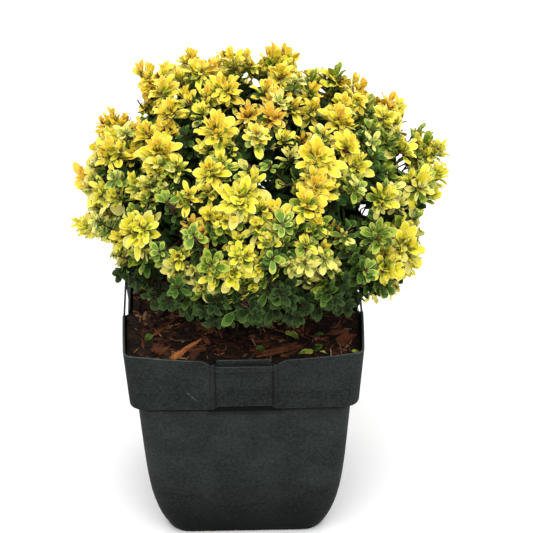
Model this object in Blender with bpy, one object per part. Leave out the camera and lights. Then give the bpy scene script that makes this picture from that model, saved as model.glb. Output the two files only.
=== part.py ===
"""A barberry in a square pot: pot, soil, stem, boughs and masses of foliage, each its own solid.

Metres, +Z up. The origin is the middle of the pot's flat underside, and the front looks along -Y.
"""

import math
import random

import bmesh
import bpy
from mathutils import Matrix, Vector
from mathutils.bvhtree import BVHTree

# Clear space between pieces that touch
GAP = 0.0003

# Pot
POT_HEIGHT = 0.1955
RIM_HALF = 0.0900
COLLAR_DEPTH = 0.0530
COLLAR_STEP = 0.0055
COLLAR_LIP = 0.0020
TAPER = 0.062
FOOT_CURVE_HEIGHT = 0.1190
FOOT_PULL = 0.0111
FOOT_CURVE_POWER = 4.1
FOOT_EDGE = 0.0015
CORNER_AT_RIM = 0.0075
CORNER_AT_FOOT = 0.0175
SIDE_BOW = 0.0012
COLLAR_BOW = 0.0008
WALL = 0.0018
FLOOR = 0.0025
RIM_ROUND = 0.0008
RIM_DIP = 0.0049
NOTCH_DEPTH = 0.0032
NOTCH_HALF = 0.0320
RECESS_HALF = 0.0215
RECESS_EDGE = 0.0040
RECESS_DEPTH = 0.0040
RECESS_AT_LIP = 0.0030
TAB_DROP = 0.0013
STRAP_SET_BACK = 0.0005
STRAP_THICKNESS = 0.0011
STRAP_HEIGHT = 0.0050
STRAP_DROP = 0.0051
STRAP_HOLD = 0.0010
SIDE_STOP = 0.0500
CORNER_STEPS = 3
OUTSIDE_LEVELS = (0.012, 0.028, 0.052, 0.088)
INSIDE_LEVELS = (0.028, 0.088)

# Soil
SOIL_EDGE = 0.1862
SOIL_MIDDLE = 0.1890
SOIL_LUMP = 0.0014
SOIL_STEPS = (0.80, 0.56, 0.34)
SOIL_PATCH = 0.16

# Stem
STEM_RADIUS = 0.0062
STEM_FLARE = 0.0118
STEM_HEAD = 0.0100
STEM_SIDES = 10
STEM_FOOT_PROFILE = ((0.0, 1.0), (0.25, 0.5), (0.65, 0.0), (1.0, 0.0))
STEM_HEAD_TILTS = (-33.0, -6.0, 22.0, 48.0, 74.0)
STEM_LEAN = Vector((-0.0025, 0.0015, 0.0))
FORK = Vector((0.0, 0.0, 0.2065))

# Crown
CROWN_CENTRE = Vector((0.011, 0.0, 0.2770))
CROWN_AXES = Vector((0.147, 0.145, 0.0960))
CROWN_FLOOR = 0.1975
VIEW_ELEVATION = math.radians(35.0)

# How far the crown reaches at even angles round its outline from the front, from its right side
# round by the top, against the plain ellipsoid
OUTLINE = (
    0.98, 0.99, 1.01, 0.95, 0.99, 1.01, 1.03, 1.08, 1.10, 0.99, 0.97, 0.96,
    0.95, 0.93, 0.89, 0.91, 0.93, 0.93, 0.92, 0.93, 0.94, 0.96, 0.99, 0.96,
)

# Rings of masses: name, how many, elevation from the fork, first azimuth
RINGS = (
    ("low", 8, math.radians(19.0), math.radians(-90.0)),
    ("mid", 6, math.radians(49.0), math.radians(-62.0)),
    ("top", 1, math.radians(86.0), math.radians(60.0)),
)
RING_WANDER = math.radians(3.5)
CELL_GAP = 0.0004
OUTLINE_SLACK = 1.04
DRAW_ROUNDS = 6
SEARCH_STEPS = 30

# Boughs
BOUGH_SHARE = 0.42
BOUGH_FOOT = 0.0023
BOUGH_TIP = 0.0016
BOUGH_BOW = 0.0030
BOUGH_SEGMENTS = 4
BOUGH_SIDES = 5

# Foliage
MASS_STEM_SHARE = 0.70
MASS_STEM_SIDES = 5
MASS_STEM_TIP = 0.0011
SHOOT_COUNT = 113
SHOOT_FOOT = 0.0010
SHOOT_TIP = 0.0008
SHOOT_SIDES = 3
SHOOT_BEND = 0.38
SHOOT_SPREAD = 0.85
SHOOT_SINK = 0.0130
SHOOT_SINK_WANDER = 0.0030
SHOOT_TURN_WANDER = 0.10
SHOOT_SIDE_CLEAR = 0.0060
SHOOT_BEND_CLEAR = 0.0018
SHOOT_END_CLEAR = 0.0030
SHOOT_LOWEST = -0.84
DEEP_EVERY = 5
DEEP_SINK = 0.0420
LEAVES_PER_SHOOT = 5
LEAF_TRIES = 30
LEAF_LENGTH = 0.0290
LEAF_LENGTH_SPREAD = 0.12
LEAF_WIDTH = 0.62
LEAF_WIDEST = 0.66
LEAF_THICKNESS = 0.0008
LEAF_ROOT_SHARE = 0.16
LEAF_OPEN_LEAST = math.radians(38.0)
LEAF_OPEN_MOST = math.radians(80.0)
LEAF_SPACING = 0.0013
LEAF_NEAR = 0.0430
UPWARD_LEAN = 0.45
GOLDEN_ANGLE = math.pi * (3.0 - math.sqrt(5.0))
SEED = 11

# Finishes: base colour, roughness
FINISHES = {
    "pot_plastic": ((0.022, 0.026, 0.026), 0.52),
    "potting_mix": ((0.030, 0.016, 0.010), 0.95),
    "stem_bark": ((0.090, 0.050, 0.032), 0.85),
    "bough_bark": ((0.150, 0.060, 0.038), 0.80),
    "leaf_low": ((0.110, 0.170, 0.022), 0.60),
    "leaf_mid": ((0.460, 0.440, 0.045), 0.58),
    "leaf_top": ((0.720, 0.580, 0.060), 0.56),
}


def clear_scene():
    """Remove every object that the scene starts with."""
    for old in list(bpy.data.objects):
        bpy.data.objects.remove(old, do_unlink=True)


def finish(name):
    """The material of one finish, made the first time it is asked for."""
    material = bpy.data.materials.get(name)
    if material is None:
        colour, roughness = FINISHES[name]
        material = bpy.data.materials.new(name)
        material.use_nodes = True
        shader = material.node_tree.nodes["Principled BSDF"]
        shader.inputs["Base Color"].default_value = (*colour, 1.0)
        shader.inputs["Roughness"].default_value = roughness
        shader.inputs["Metallic"].default_value = 0.0
    return material


def place(name, mesh, material_name, parent=None):
    """Link a mesh to the scene as a named object with its material."""
    mesh.name = name
    piece = bpy.data.objects.new(name, mesh)
    mesh.materials.clear()
    mesh.materials.append(finish(material_name))
    bpy.context.scene.collection.objects.link(piece)
    piece.parent = parent
    return piece


def mesh_of_rings(name, rings, smooth=False):
    """A closed mesh through rings of points, listed from one end cap to the other."""
    shape = bmesh.new()
    loops = [[shape.verts.new(point) for point in ring] for ring in rings]
    for lower, upper in zip(loops, loops[1:]):
        for k in range(len(lower)):
            n = (k + 1) % len(lower)
            shape.faces.new((lower[k], lower[n], upper[n], upper[k]))
    shape.faces.new(reversed(loops[0]))
    shape.faces.new(loops[-1])
    bmesh.ops.recalc_face_normals(shape, faces=shape.faces)
    mesh = bpy.data.meshes.new(name)
    shape.to_mesh(mesh)
    shape.free()
    if smooth:
        mesh.shade_smooth()
        mesh.set_sharp_from_angle(angle=math.radians(40.0))
    return mesh


# Pot and soil

def collar_half(z):
    """Half the collar's outside width at a height."""
    return RIM_HALF - TAPER * (POT_HEIGHT - z)


def body_half(z):
    """Half the body's outside width at a height, up to the collar's lower edge."""
    shoulder = POT_HEIGHT - COLLAR_DEPTH
    below = max(0.0, (FOOT_CURVE_HEIGHT - z) / FOOT_CURVE_HEIGHT)
    pull = FOOT_PULL * below ** FOOT_CURVE_POWER
    return collar_half(shoulder) - COLLAR_STEP - TAPER * (shoulder - z) - pull


def corner_radius(z):
    """The plan radius of the pot's corners at a height."""
    return CORNER_AT_FOOT + (CORNER_AT_RIM - CORNER_AT_FOOT) * z / POT_HEIGHT


def rim_drop(stop):
    """How far the rim dips at a place along a side: to the middle, and to a notch at each strap end."""
    share = stop / (RIM_HALF - CORNER_AT_RIM)
    dip = RIM_DIP * (1.0 - share * share)
    if abs(stop) <= RECESS_HALF:
        return dip + TAB_DROP
    notch_foot = RECESS_HALF + RECESS_EDGE
    return dip + NOTCH_DEPTH * min(1.0, max(0.0, (NOTCH_HALF - abs(stop)) / (NOTCH_HALF - notch_foot)))


def square_ring(half, z, stops, inset=0.0, at_rim=False, recess=0.0):
    """Points round a square with round corners and sides that bow out a little.

    stops are places along a side, for the rim's own length of side. recess sets the panel in the
    middle of a side back. at_rim gives the ring the rim's dip and the bow of the collar.
    """
    rim_straight = RIM_HALF - CORNER_AT_RIM
    radius = corner_radius(z) - inset
    straight = half - radius
    bow = SIDE_BOW * z / POT_HEIGHT + (COLLAR_BOW if at_rim else 0.0)
    points = []
    for quarter in range(4):
        turn = Matrix.Rotation(quarter * math.pi / 2.0, 3, "Z")
        for stop in stops:
            share = stop / rim_straight
            middle = 1.0 - share * share
            panel = min(1.0, max(0.0, (RECESS_HALF + RECESS_EDGE - abs(stop)) / RECESS_EDGE))
            outward = half + bow * middle - recess * panel
            height = z - (rim_drop(stop) if at_rim else 0.0)
            points.append(turn @ Vector((share * straight, -outward, height)))
        for step in range(CORNER_STEPS + 1):
            angle = -math.pi / 2.0 * (1.0 - step / CORNER_STEPS)
            corner = Vector((straight, -straight, z))
            arm = Vector((math.cos(angle), math.sin(angle), 0.0))
            points.append(turn @ (corner + radius * arm))
    return points


def pot_stops():
    """Places along a pot's side that show the panel's edges and the side's bow."""
    half_side = (RECESS_HALF, RECESS_HALF + RECESS_EDGE, NOTCH_HALF, SIDE_STOP)
    return [-stop for stop in reversed(half_side)] + [0.0] + list(half_side)


def pot_rings():
    """The pot's rings from its underside up the outside, over the rim and down to its floor."""
    stops = pot_stops()
    shoulder = POT_HEIGHT - COLLAR_DEPTH
    ledge = shoulder + WALL
    rim = {"recess": RECESS_DEPTH, "at_rim": True}
    rings = [square_ring(body_half(0.0) - FOOT_EDGE, 0.0, stops)]
    for z in (FOOT_EDGE, *OUTSIDE_LEVELS, shoulder):
        rings.append(square_ring(body_half(z), z, stops))
    lip = shoulder + COLLAR_LIP
    rings.append(square_ring(collar_half(shoulder) - COLLAR_LIP, shoulder, stops, recess=RECESS_AT_LIP))
    rings.append(square_ring(collar_half(lip), lip, stops, recess=RECESS_DEPTH))
    rings.append(square_ring(RIM_HALF, POT_HEIGHT - RIM_ROUND, stops, **rim))
    rings.append(square_ring(RIM_HALF - RIM_ROUND, POT_HEIGHT, stops, **rim))
    rings.append(square_ring(RIM_HALF - WALL, POT_HEIGHT - RIM_ROUND, stops, inset=WALL, **rim))
    rings.append(square_ring(collar_half(ledge) - WALL, ledge, stops, inset=WALL, recess=RECESS_DEPTH))
    rings.append(square_ring(body_half(shoulder) - WALL, ledge, stops, inset=WALL))
    for z in (*reversed(INSIDE_LEVELS), FLOOR):
        rings.append(square_ring(body_half(z) - WALL, z, stops, inset=WALL))
    return rings


def strap_bars():
    """A thin strap for each side, across the panel's top, with its ends held in the collar."""
    shape = bmesh.new()
    outside = RIM_HALF + SIDE_BOW + COLLAR_BOW - STRAP_SET_BACK
    middle = outside - STRAP_THICKNESS / 2.0
    top = POT_HEIGHT - RIM_DIP - STRAP_DROP
    half = RECESS_HALF + RECESS_EDGE + STRAP_HOLD
    for quarter in range(4):
        size = Matrix.Diagonal((2.0 * half, STRAP_THICKNESS, STRAP_HEIGHT, 1.0))
        there = Matrix.Translation((0.0, -middle, top - STRAP_HEIGHT / 2.0))
        turn = Matrix.Rotation(quarter * math.pi / 2.0, 4, "Z")
        bmesh.ops.create_cube(shape, size=1.0, matrix=turn @ there @ size)
    mesh = bpy.data.meshes.new("strap_bars")
    shape.to_mesh(mesh)
    shape.free()
    bars = bpy.data.objects.new("strap_bars", mesh)
    bpy.context.scene.collection.objects.link(bars)
    bars.hide_render = True
    bars.display_type = "WIRE"
    return bars


def build_pot(root):
    """The square pot with its wider collar, and a strap across a sunk panel in each side."""
    pot = place("pot", mesh_of_rings("pot", pot_rings()), "pot_plastic", root)
    join = pot.modifiers.new("straps", "BOOLEAN")
    join.operation = "UNION"
    join.solver = "EXACT"
    join.object = strap_bars()
    return pot


def build_soil(root):
    """The soil that fills the pot, with a lumpy top and a flat patch under the stem."""
    rng = random.Random(SEED)
    stops = pot_stops()
    inset = WALL + GAP
    shoulder = POT_HEIGHT - COLLAR_DEPTH
    ledge = shoulder + WALL + GAP
    rings = []
    for z in (FLOOR + GAP, *INSIDE_LEVELS):
        rings.append(square_ring(body_half(z) - inset, z, stops, inset=inset))
    rings.append(square_ring(body_half(shoulder) - inset, ledge, stops, inset=inset))
    for z in (ledge, SOIL_EDGE):
        rings.append(square_ring(collar_half(z) - inset, z, stops, inset=inset, recess=RECESS_DEPTH))
    edge = rings[-1]
    for step in SOIL_STEPS:
        rise = SOIL_MIDDLE - SOIL_EDGE
        ring = []
        for point in edge:
            lump = rng.uniform(-SOIL_LUMP, SOIL_LUMP)
            height = SOIL_EDGE + rise * (1.0 - step * step) + lump
            ring.append(Vector((point.x * step, point.y * step, height)))
        rings.append(ring)
    rings.append([Vector((p.x * SOIL_PATCH, p.y * SOIL_PATCH, SOIL_MIDDLE)) for p in edge])
    return place("soil", mesh_of_rings("soil", rings), "potting_mix", root)


# Crown outline

def outline_factor(direction):
    """How far the crown reaches along a direction from its centre, against the ellipsoid."""
    across = direction.x
    rise = direction.y * math.sin(VIEW_ELEVATION) + direction.z * math.cos(VIEW_ELEVATION)
    seen = across * across + rise * rise
    angle = math.atan2(rise, across) % (2.0 * math.pi)
    place_on = angle / (2.0 * math.pi) * len(OUTLINE)
    first = int(place_on) % len(OUTLINE)
    share = place_on - int(place_on)
    smooth = share * share * (3.0 - 2.0 * share)
    factor = OUTLINE[first] + (OUTLINE[(first + 1) % len(OUTLINE)] - OUTLINE[first]) * smooth
    return 1.0 + (factor - 1.0) * seen


def crown_level(point):
    """How far out a point is in the crown: 0 at its centre, 1 on its outline."""
    off = point - CROWN_CENTRE
    scaled = Vector((off.x / CROWN_AXES.x, off.y / CROWN_AXES.y, off.z / CROWN_AXES.z))
    if off.length < 1e-9:
        return 0.0
    return scaled.length / outline_factor(off.normalized())


def crown_reach(direction):
    """Distance from the fork to the crown's outline along a unit direction."""
    near, far = 0.0, 2.0 * max(CROWN_AXES)
    for _ in range(SEARCH_STEPS):
        middle = (near + far) / 2.0
        if crown_level(FORK + direction * middle) < 1.0:
            near = middle
        else:
            far = middle
    return near


class Cell:
    """The space of one mass: a cone from the fork, bounded half-way to each neighbour."""

    def __init__(self, name, ring, axis):
        self.name = name
        self.ring = ring
        self.axis = axis
        self.reach = crown_reach(axis)
        self.bough_end = self.reach * BOUGH_SHARE
        self.sides = []

    def meet(self, others):
        """Work out the planes half-way to the other cells."""
        for other in others:
            if other is not self:
                self.sides.append((self.axis - other.axis).normalized())

    def side_room(self, point):
        """Distance from a point to the nearest plane half-way to another cell."""
        off = point - FORK
        return min(off.dot(side) for side in self.sides)

    def holds(self, point, radius=0.0):
        """Whether a point lies in this space with room to spare."""
        off = point - FORK
        if off.dot(self.axis) < self.bough_end + GAP + radius:
            return False
        if point.z < CROWN_FLOOR + radius or crown_level(point) > OUTLINE_SLACK:
            return False
        return self.side_room(point) >= CELL_GAP + radius

    def draw_in(self, point, room):
        """Move a point in from the sides until it has the room asked for."""
        for _ in range(DRAW_ROUNDS):
            off = point - FORK
            for side in self.sides:
                short = room - off.dot(side)
                if short > 0.0:
                    point = point + side * short
                    off = point - FORK
        return point


def make_cells():
    """One cell for each mass, in rings round the fork."""
    rng = random.Random(SEED + 1)
    cells = []
    for ring, count, elevation, first in RINGS:
        for number in range(count):
            azimuth = first + 2.0 * math.pi * number / count + rng.uniform(-RING_WANDER, RING_WANDER)
            rise = elevation + rng.uniform(-RING_WANDER, RING_WANDER)
            flat = math.cos(rise)
            axis = Vector((flat * math.cos(azimuth), flat * math.sin(azimuth), math.sin(rise)))
            cells.append(Cell(f"{ring}_{number + 1}", ring, axis))
    for cell in cells:
        cell.meet(cells)
    return cells


# Stem and boughs

def limb_rings(path, radii, sides):
    """Rings of points round a path, turned as little as possible from one to the next."""
    rings = []
    across = None
    for k, centre in enumerate(path):
        ahead = path[min(k + 1, len(path) - 1)] - path[max(k - 1, 0)]
        ahead = ahead.normalized()
        if across is None:
            across = ahead.orthogonal()
        across = (across - ahead * across.dot(ahead)).normalized()
        up = ahead.cross(across)
        ring = []
        for side in range(sides):
            angle = 2.0 * math.pi * side / sides
            ring.append(centre + radii[k] * (math.cos(angle) * across + math.sin(angle) * up))
        rings.append(ring)
    return rings


def build_stem(root):
    """The short stem: a flare at the soil, a waist, and the round head that the boughs leave."""
    foot = SOIL_MIDDLE + GAP
    height = FORK.z - STEM_HEAD - foot
    levels = []
    for rise, flare in STEM_FOOT_PROFILE:
        levels.append((foot + rise * height, STEM_RADIUS + flare * (STEM_FLARE - STEM_RADIUS)))
    for tilt in STEM_HEAD_TILTS:
        angle = math.radians(tilt)
        levels.append((FORK.z + STEM_HEAD * math.sin(angle), STEM_HEAD * math.cos(angle)))
    rings = []
    for z, radius in levels:
        centre = Vector((0.0, 0.0, z)) + STEM_LEAN * max(0.0, 1.0 - (z - foot) / height)
        ring = []
        for side in range(STEM_SIDES):
            angle = 2.0 * math.pi * side / STEM_SIDES
            ring.append(centre + radius * Vector((math.cos(angle), math.sin(angle), 0.0)))
        rings.append(ring)
    return place("stem", mesh_of_rings("stem", rings, smooth=True), "stem_bark", root)


def bough_path(cell, rng):
    """A bough's line from the stem's head to its tip, bowed a little to one side."""
    start = STEM_HEAD + GAP
    across = cell.axis.orthogonal().normalized()
    sideways = Matrix.Rotation(rng.uniform(0.0, 2.0 * math.pi), 3, cell.axis) @ across
    path = []
    for step in range(BOUGH_SEGMENTS + 1):
        share = step / BOUGH_SEGMENTS
        along = start + (cell.bough_end - start) * share
        bow = BOUGH_BOW * math.sin(math.pi * share) ** 2
        path.append(FORK + cell.axis * along + sideways * bow)
    return path


def build_bough(cell, rng, root):
    """One tapering limb from the stem's head to where it enters its mass."""
    path = bough_path(cell, rng)
    radii = []
    for step in range(BOUGH_SEGMENTS + 1):
        radii.append(BOUGH_FOOT + (BOUGH_TIP - BOUGH_FOOT) * step / BOUGH_SEGMENTS)
    mesh = mesh_of_rings("limb", limb_rings(path, radii, BOUGH_SIDES), smooth=True)
    return place(f"bough_{cell.name}", mesh, "bough_bark", root)


# Foliage

def shoot_tips():
    """Even places for the shoots' tips over the crown, some of them deeper inside it."""
    rng = random.Random(SEED + 2)
    tips = []
    for k in range(SHOOT_COUNT):
        rise = 1.0 - (2.0 * k + 1.0) / SHOOT_COUNT
        if rise < SHOOT_LOWEST:
            continue
        flat = math.sqrt(1.0 - rise * rise)
        turn = k * GOLDEN_ANGLE + rng.uniform(-SHOOT_TURN_WANDER, SHOOT_TURN_WANDER)
        way = Vector((flat * math.cos(turn), flat * math.sin(turn), rise))
        sink = DEEP_SINK if k % DEEP_EVERY == DEEP_EVERY - 1 else SHOOT_SINK
        sink += rng.uniform(-SHOOT_SINK_WANDER, SHOOT_SINK_WANDER)
        surface = Vector((way.x * CROWN_AXES.x, way.y * CROWN_AXES.y, way.z * CROWN_AXES.z))
        surface *= outline_factor(surface.normalized())
        outward = Vector((way.x / CROWN_AXES.x, way.y / CROWN_AXES.y, way.z / CROWN_AXES.z))
        outward.normalize()
        tips.append((CROWN_CENTRE + surface - outward * sink, outward))
    return tips


def share_out(tips, cells):
    """Give each tip to the cell whose axis points nearest to it."""
    shares = {cell.name: [] for cell in cells}
    for tip, outward in tips:
        way = (tip - FORK).normalized()
        cell = max(cells, key=lambda each: each.axis.dot(way))
        shares[cell.name].append((cell.draw_in(tip, SHOOT_SIDE_CLEAR), outward))
    return shares


def leaf_corners(root, along, upper, length):
    """A leaf's corners: root, side, tip and side of a kite, then its middle above and below."""
    across = along.cross(upper).normalized() * length * LEAF_WIDTH / 2.0
    thick = upper * LEAF_THICKNESS / 2.0
    widest = root + along * length * LEAF_WIDEST
    return (root, widest + across, root + along * length, widest - across,
            widest + thick, widest - thick)


def leaf_faces():
    """The eight faces of a leaf, as its corners' numbers."""
    faces = []
    for k in range(4):
        faces.append((k, (k + 1) % 4, 4))
        faces.append(((k + 1) % 4, k, 5))
    return faces


def leaf_mesh(corners):
    """A closed leaf of eight faces through its six corners."""
    mesh = bpy.data.meshes.new("leaf")
    mesh.from_pydata(corners, [], leaf_faces())
    return mesh


def blade_tree(corners):
    """A tree for finding overlaps of a leaf's blade, without the root that is sunk in its shoot."""
    root = corners[0].lerp(corners[2], LEAF_ROOT_SHARE)
    return BVHTree.FromPolygons([root, *corners[1:]], leaf_faces())


def rosette(cell, path, limbs, blades, rng):
    """Leaves round a shoot's tip by the golden angle, as many as have room in the cell.

    limbs are the trees of the mass's other twigs. blades holds its leaves so far, as centre and
    tree, and each new leaf is added to it.
    """
    axis = (path[-1] - path[-2]).normalized()
    first = axis.orthogonal().normalized()
    second = axis.cross(first)
    start = rng.uniform(0.0, 2.0 * math.pi)
    leaves = []
    for k in range(LEAF_TRIES):
        length = LEAF_LENGTH * (1.0 + LEAF_LENGTH_SPREAD * rng.uniform(-1.0, 1.0))
        lean = rng.uniform(LEAF_OPEN_LEAST, LEAF_OPEN_MOST)
        turn = start + k * GOLDEN_ANGLE
        side = math.cos(turn) * first + math.sin(turn) * second
        along = axis * math.cos(lean) + side * math.sin(lean)
        upper = axis * math.sin(lean) - side * math.cos(lean)
        root = path[-1] - axis * LEAF_SPACING * (len(leaves) + 1.0)
        corners = leaf_corners(root, along, upper, length)
        if not all(cell.holds(corner) for corner in corners):
            continue
        middle = corners[1].lerp(corners[3], 0.5)
        tree = blade_tree(corners)
        near = [blade for centre, blade in blades if (centre - middle).length < LEAF_NEAR]
        if any(tree.overlap(other) for other in near + limbs):
            continue
        blades.append((middle, tree))
        leaves.append(leaf_mesh(corners))
        if len(leaves) == LEAVES_PER_SHOOT:
            break
    return leaves


def shoot_path(cell, stem_start, stem_end, tip, outward):
    """A shoot's line from the mass's stem to its tip, which ends outward and a little upward."""
    depth = (tip - FORK).dot(cell.axis)
    aside = ((tip - FORK) - cell.axis * depth).length
    along = min(max(depth - aside * SHOOT_SPREAD, stem_start), stem_end)
    foot = FORK + cell.axis * along
    end_way = (outward + (tip - FORK).normalized() + Vector((0.0, 0.0, UPWARD_LEAN))).normalized()
    bend = tip - end_way * (tip - foot).length * SHOOT_BEND
    return [foot, cell.draw_in(bend, SHOOT_BEND_CLEAR), tip]


def join_mass(name, stem, parts, material_name, root):
    """Fuse twigs and leaves to a mass's stem in one union, and keep the one outer shell."""
    group = bpy.data.collections.new(f"{name}_parts")
    bpy.context.scene.collection.children.link(group)
    pieces = [bpy.data.objects.new(f"{name}_part", mesh) for mesh in parts]
    for piece in pieces:
        group.objects.link(piece)
    mass = place(name, stem, material_name, root)
    fuse = mass.modifiers.new("fuse", "BOOLEAN")
    fuse.operation = "UNION"
    fuse.operand_type = "COLLECTION"
    fuse.solver = "MANIFOLD"
    fuse.collection = group
    graph = bpy.context.evaluated_depsgraph_get()
    joined = bpy.data.meshes.new_from_object(mass.evaluated_get(graph))
    mass.modifiers.clear()
    mass.data = joined
    joined.name = name
    joined.materials.clear()
    joined.materials.append(finish(material_name))
    for piece in pieces:
        bpy.data.objects.remove(piece, do_unlink=True)
    bpy.data.collections.remove(group)
    keep_largest_shell(joined)
    return mass


def keep_largest_shell(mesh):
    """Drop loose scraps, and the shells of hollows sealed inside."""
    shape = bmesh.new()
    shape.from_mesh(mesh)
    left = set(shape.faces)
    shells = []
    while left:
        shell = set()
        queue = [left.pop()]
        while queue:
            face = queue.pop()
            shell.add(face)
            for edge in face.edges:
                for other in edge.link_faces:
                    if other in left:
                        left.remove(other)
                        queue.append(other)
        shells.append(shell)
    largest = max(shells, key=len)
    for shell in shells:
        if shell is not largest:
            bmesh.ops.delete(shape, geom=list(shell), context="FACES")
    bmesh.ops.triangulate(shape, faces=shape.faces)
    shape.to_mesh(mesh)
    shape.free()


def mesh_tree(mesh):
    """A tree for finding overlaps with a mesh."""
    corners = [vertex.co for vertex in mesh.vertices]
    return BVHTree.FromPolygons(corners, [tuple(face.vertices) for face in mesh.polygons])


def build_mass(cell, tips, rng, root):
    """One mass: a stem on from its bough's tip, shoots along it, and a rosette on each shoot."""
    start = cell.bough_end + GAP
    end = cell.reach * MASS_STEM_SHARE
    stem_path = [FORK + cell.axis * along for along in (start, (start + end) / 2.0, end)]
    stem_radii = (BOUGH_TIP, (BOUGH_TIP + MASS_STEM_TIP) / 2.0, MASS_STEM_TIP)
    stem = mesh_of_rings("stem", limb_rings(stem_path, stem_radii, MASS_STEM_SIDES))
    paths = []
    for tip, outward in tips:
        path = shoot_path(cell, start + SHOOT_END_CLEAR, end - SHOOT_END_CLEAR, tip, outward)
        if all(cell.holds(point, SHOOT_FOOT) for point in path):
            paths.append(path)
    radii = (SHOOT_FOOT, (SHOOT_FOOT + SHOOT_TIP) / 2.0, SHOOT_TIP)
    shoots = [mesh_of_rings("shoot", limb_rings(path, radii, SHOOT_SIDES)) for path in paths]
    trees = [mesh_tree(shoot) for shoot in shoots]
    parts = list(shoots)
    blades = []
    for path, own in zip(paths, trees):
        limbs = [mesh_tree(stem)] + [tree for tree in trees if tree is not own]
        parts.extend(rosette(cell, path, limbs, blades, rng))
    return join_mass(f"foliage_{cell.name}", stem, parts, f"leaf_{cell.ring}", root)


def main():
    """Build the plant and its pot, piece by piece, under one root."""
    clear_scene()
    root = bpy.data.objects.new("potted_barberry", None)
    bpy.context.scene.collection.objects.link(root)
    build_pot(root)
    build_soil(root)
    build_stem(root)
    cells = make_cells()
    shares = share_out(shoot_tips(), cells)
    rng = random.Random(SEED + 3)
    for cell in cells:
        build_bough(cell, rng, root)
    for cell in cells:
        build_mass(cell, shares[cell.name], rng, root)


main()
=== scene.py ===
"""Looks of a golden barberry in a square nursery pot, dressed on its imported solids.

Metres, +Z up. The origin is the middle of the pot's flat underside, and the front looks along -Y.
"""

import logging
import math
import random
from dataclasses import dataclass, field
from enum import Enum
from typing import Callable, Iterator, Sequence

import bpy
import numpy as np
from mathutils import Matrix, Vector, noise


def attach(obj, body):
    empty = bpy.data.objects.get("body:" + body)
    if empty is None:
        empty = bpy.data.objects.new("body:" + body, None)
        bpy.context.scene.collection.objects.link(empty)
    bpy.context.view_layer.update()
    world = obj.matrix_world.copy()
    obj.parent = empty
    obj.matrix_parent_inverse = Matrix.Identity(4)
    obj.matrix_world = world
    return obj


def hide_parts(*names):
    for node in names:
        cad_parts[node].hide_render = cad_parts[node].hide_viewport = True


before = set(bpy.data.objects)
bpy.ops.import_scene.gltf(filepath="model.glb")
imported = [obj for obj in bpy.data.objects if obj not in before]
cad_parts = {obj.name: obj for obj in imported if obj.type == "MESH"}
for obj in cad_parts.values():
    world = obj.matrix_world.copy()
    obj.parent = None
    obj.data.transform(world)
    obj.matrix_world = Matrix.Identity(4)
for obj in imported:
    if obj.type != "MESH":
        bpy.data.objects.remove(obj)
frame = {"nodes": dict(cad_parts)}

LOG = logging.getLogger("barberry")
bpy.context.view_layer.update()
BODY = "root"
GAP = 0.0003
GOLDEN_ANGLE = math.pi * (3.0 - math.sqrt(5.0))

Colour = tuple[float, float, float]
Ring = list[Vector]


def tint(red: int, green: int, blue: int) -> Colour:
    """Turn a display colour into the linear base colour of a shader.

    Args:
        red: Red from 0 to 255.
        green: Green from 0 to 255.
        blue: Blue from 0 to 255.

    Returns:
        The linear colour.
    """
    linear = []
    for value in (red, green, blue):
        share = value / 255.0
        linear.append(share / 12.92 if share <= 0.04045 else ((share + 0.055) / 1.055) ** 2.4)
    return (linear[0], linear[1], linear[2])


def blend(first: float, second: float, share: float) -> float:
    """The value that lies a share of the way from the first to the second."""
    return first + (second - first) * share


# Materials

class Wire:
    """An output socket. Arithmetic on it adds Math nodes to its material."""

    def __init__(self, graph: "Graph", socket: bpy.types.NodeSocket) -> None:
        """Hold a socket and the graph that it belongs to."""
        self.graph = graph
        self.socket = socket

    def _maths(self, operation: str, first: "Wire | float", second: "Wire | float") -> "Wire":
        """The result of one Math node."""
        return self.graph.node("ShaderNodeMath", {"operation": operation}, {0: first, 1: second})

    def __add__(self, other: "Wire | float") -> "Wire":
        """This value plus another."""
        return self._maths("ADD", self, other)

    def __radd__(self, other: float) -> "Wire":
        """Another value plus this one."""
        return self._maths("ADD", other, self)

    def __sub__(self, other: "Wire | float") -> "Wire":
        """This value less another."""
        return self._maths("SUBTRACT", self, other)

    def __rsub__(self, other: float) -> "Wire":
        """Another value less this one."""
        return self._maths("SUBTRACT", other, self)

    def __mul__(self, other: "Wire | float") -> "Wire":
        """This value times another."""
        return self._maths("MULTIPLY", self, other)

    def __rmul__(self, other: float) -> "Wire":
        """Another value times this one."""
        return self._maths("MULTIPLY", other, self)

    def band(self, low: float, high: float) -> "Wire":
        """Rise smoothly from 0 at one value to 1 at another.

        Args:
            low: The value where the result is 0.
            high: The value where the result is 1.

        Returns:
            The smooth step.
        """
        settings = {"interpolation_type": "SMOOTHSTEP"}
        ends = {"Value": self, "From Min": low, "From Max": high}
        return self.graph.node("ShaderNodeMapRange", settings, ends)


    def __abs__(self) -> "Wire":
        """This value without its sign."""
        return self._maths("ABSOLUTE", self, 0.0)

    def least(self, other: "Wire") -> "Wire":
        """The smaller of this value and another."""
        return self._maths("MINIMUM", self, other)

    def line(self, place: float, width: float) -> "Wire":
        """A soft line: 1 at one value, and 0 from a width away from it."""
        return self.band(place - width, place) * (1.0 - self.band(place, place + width))


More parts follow.
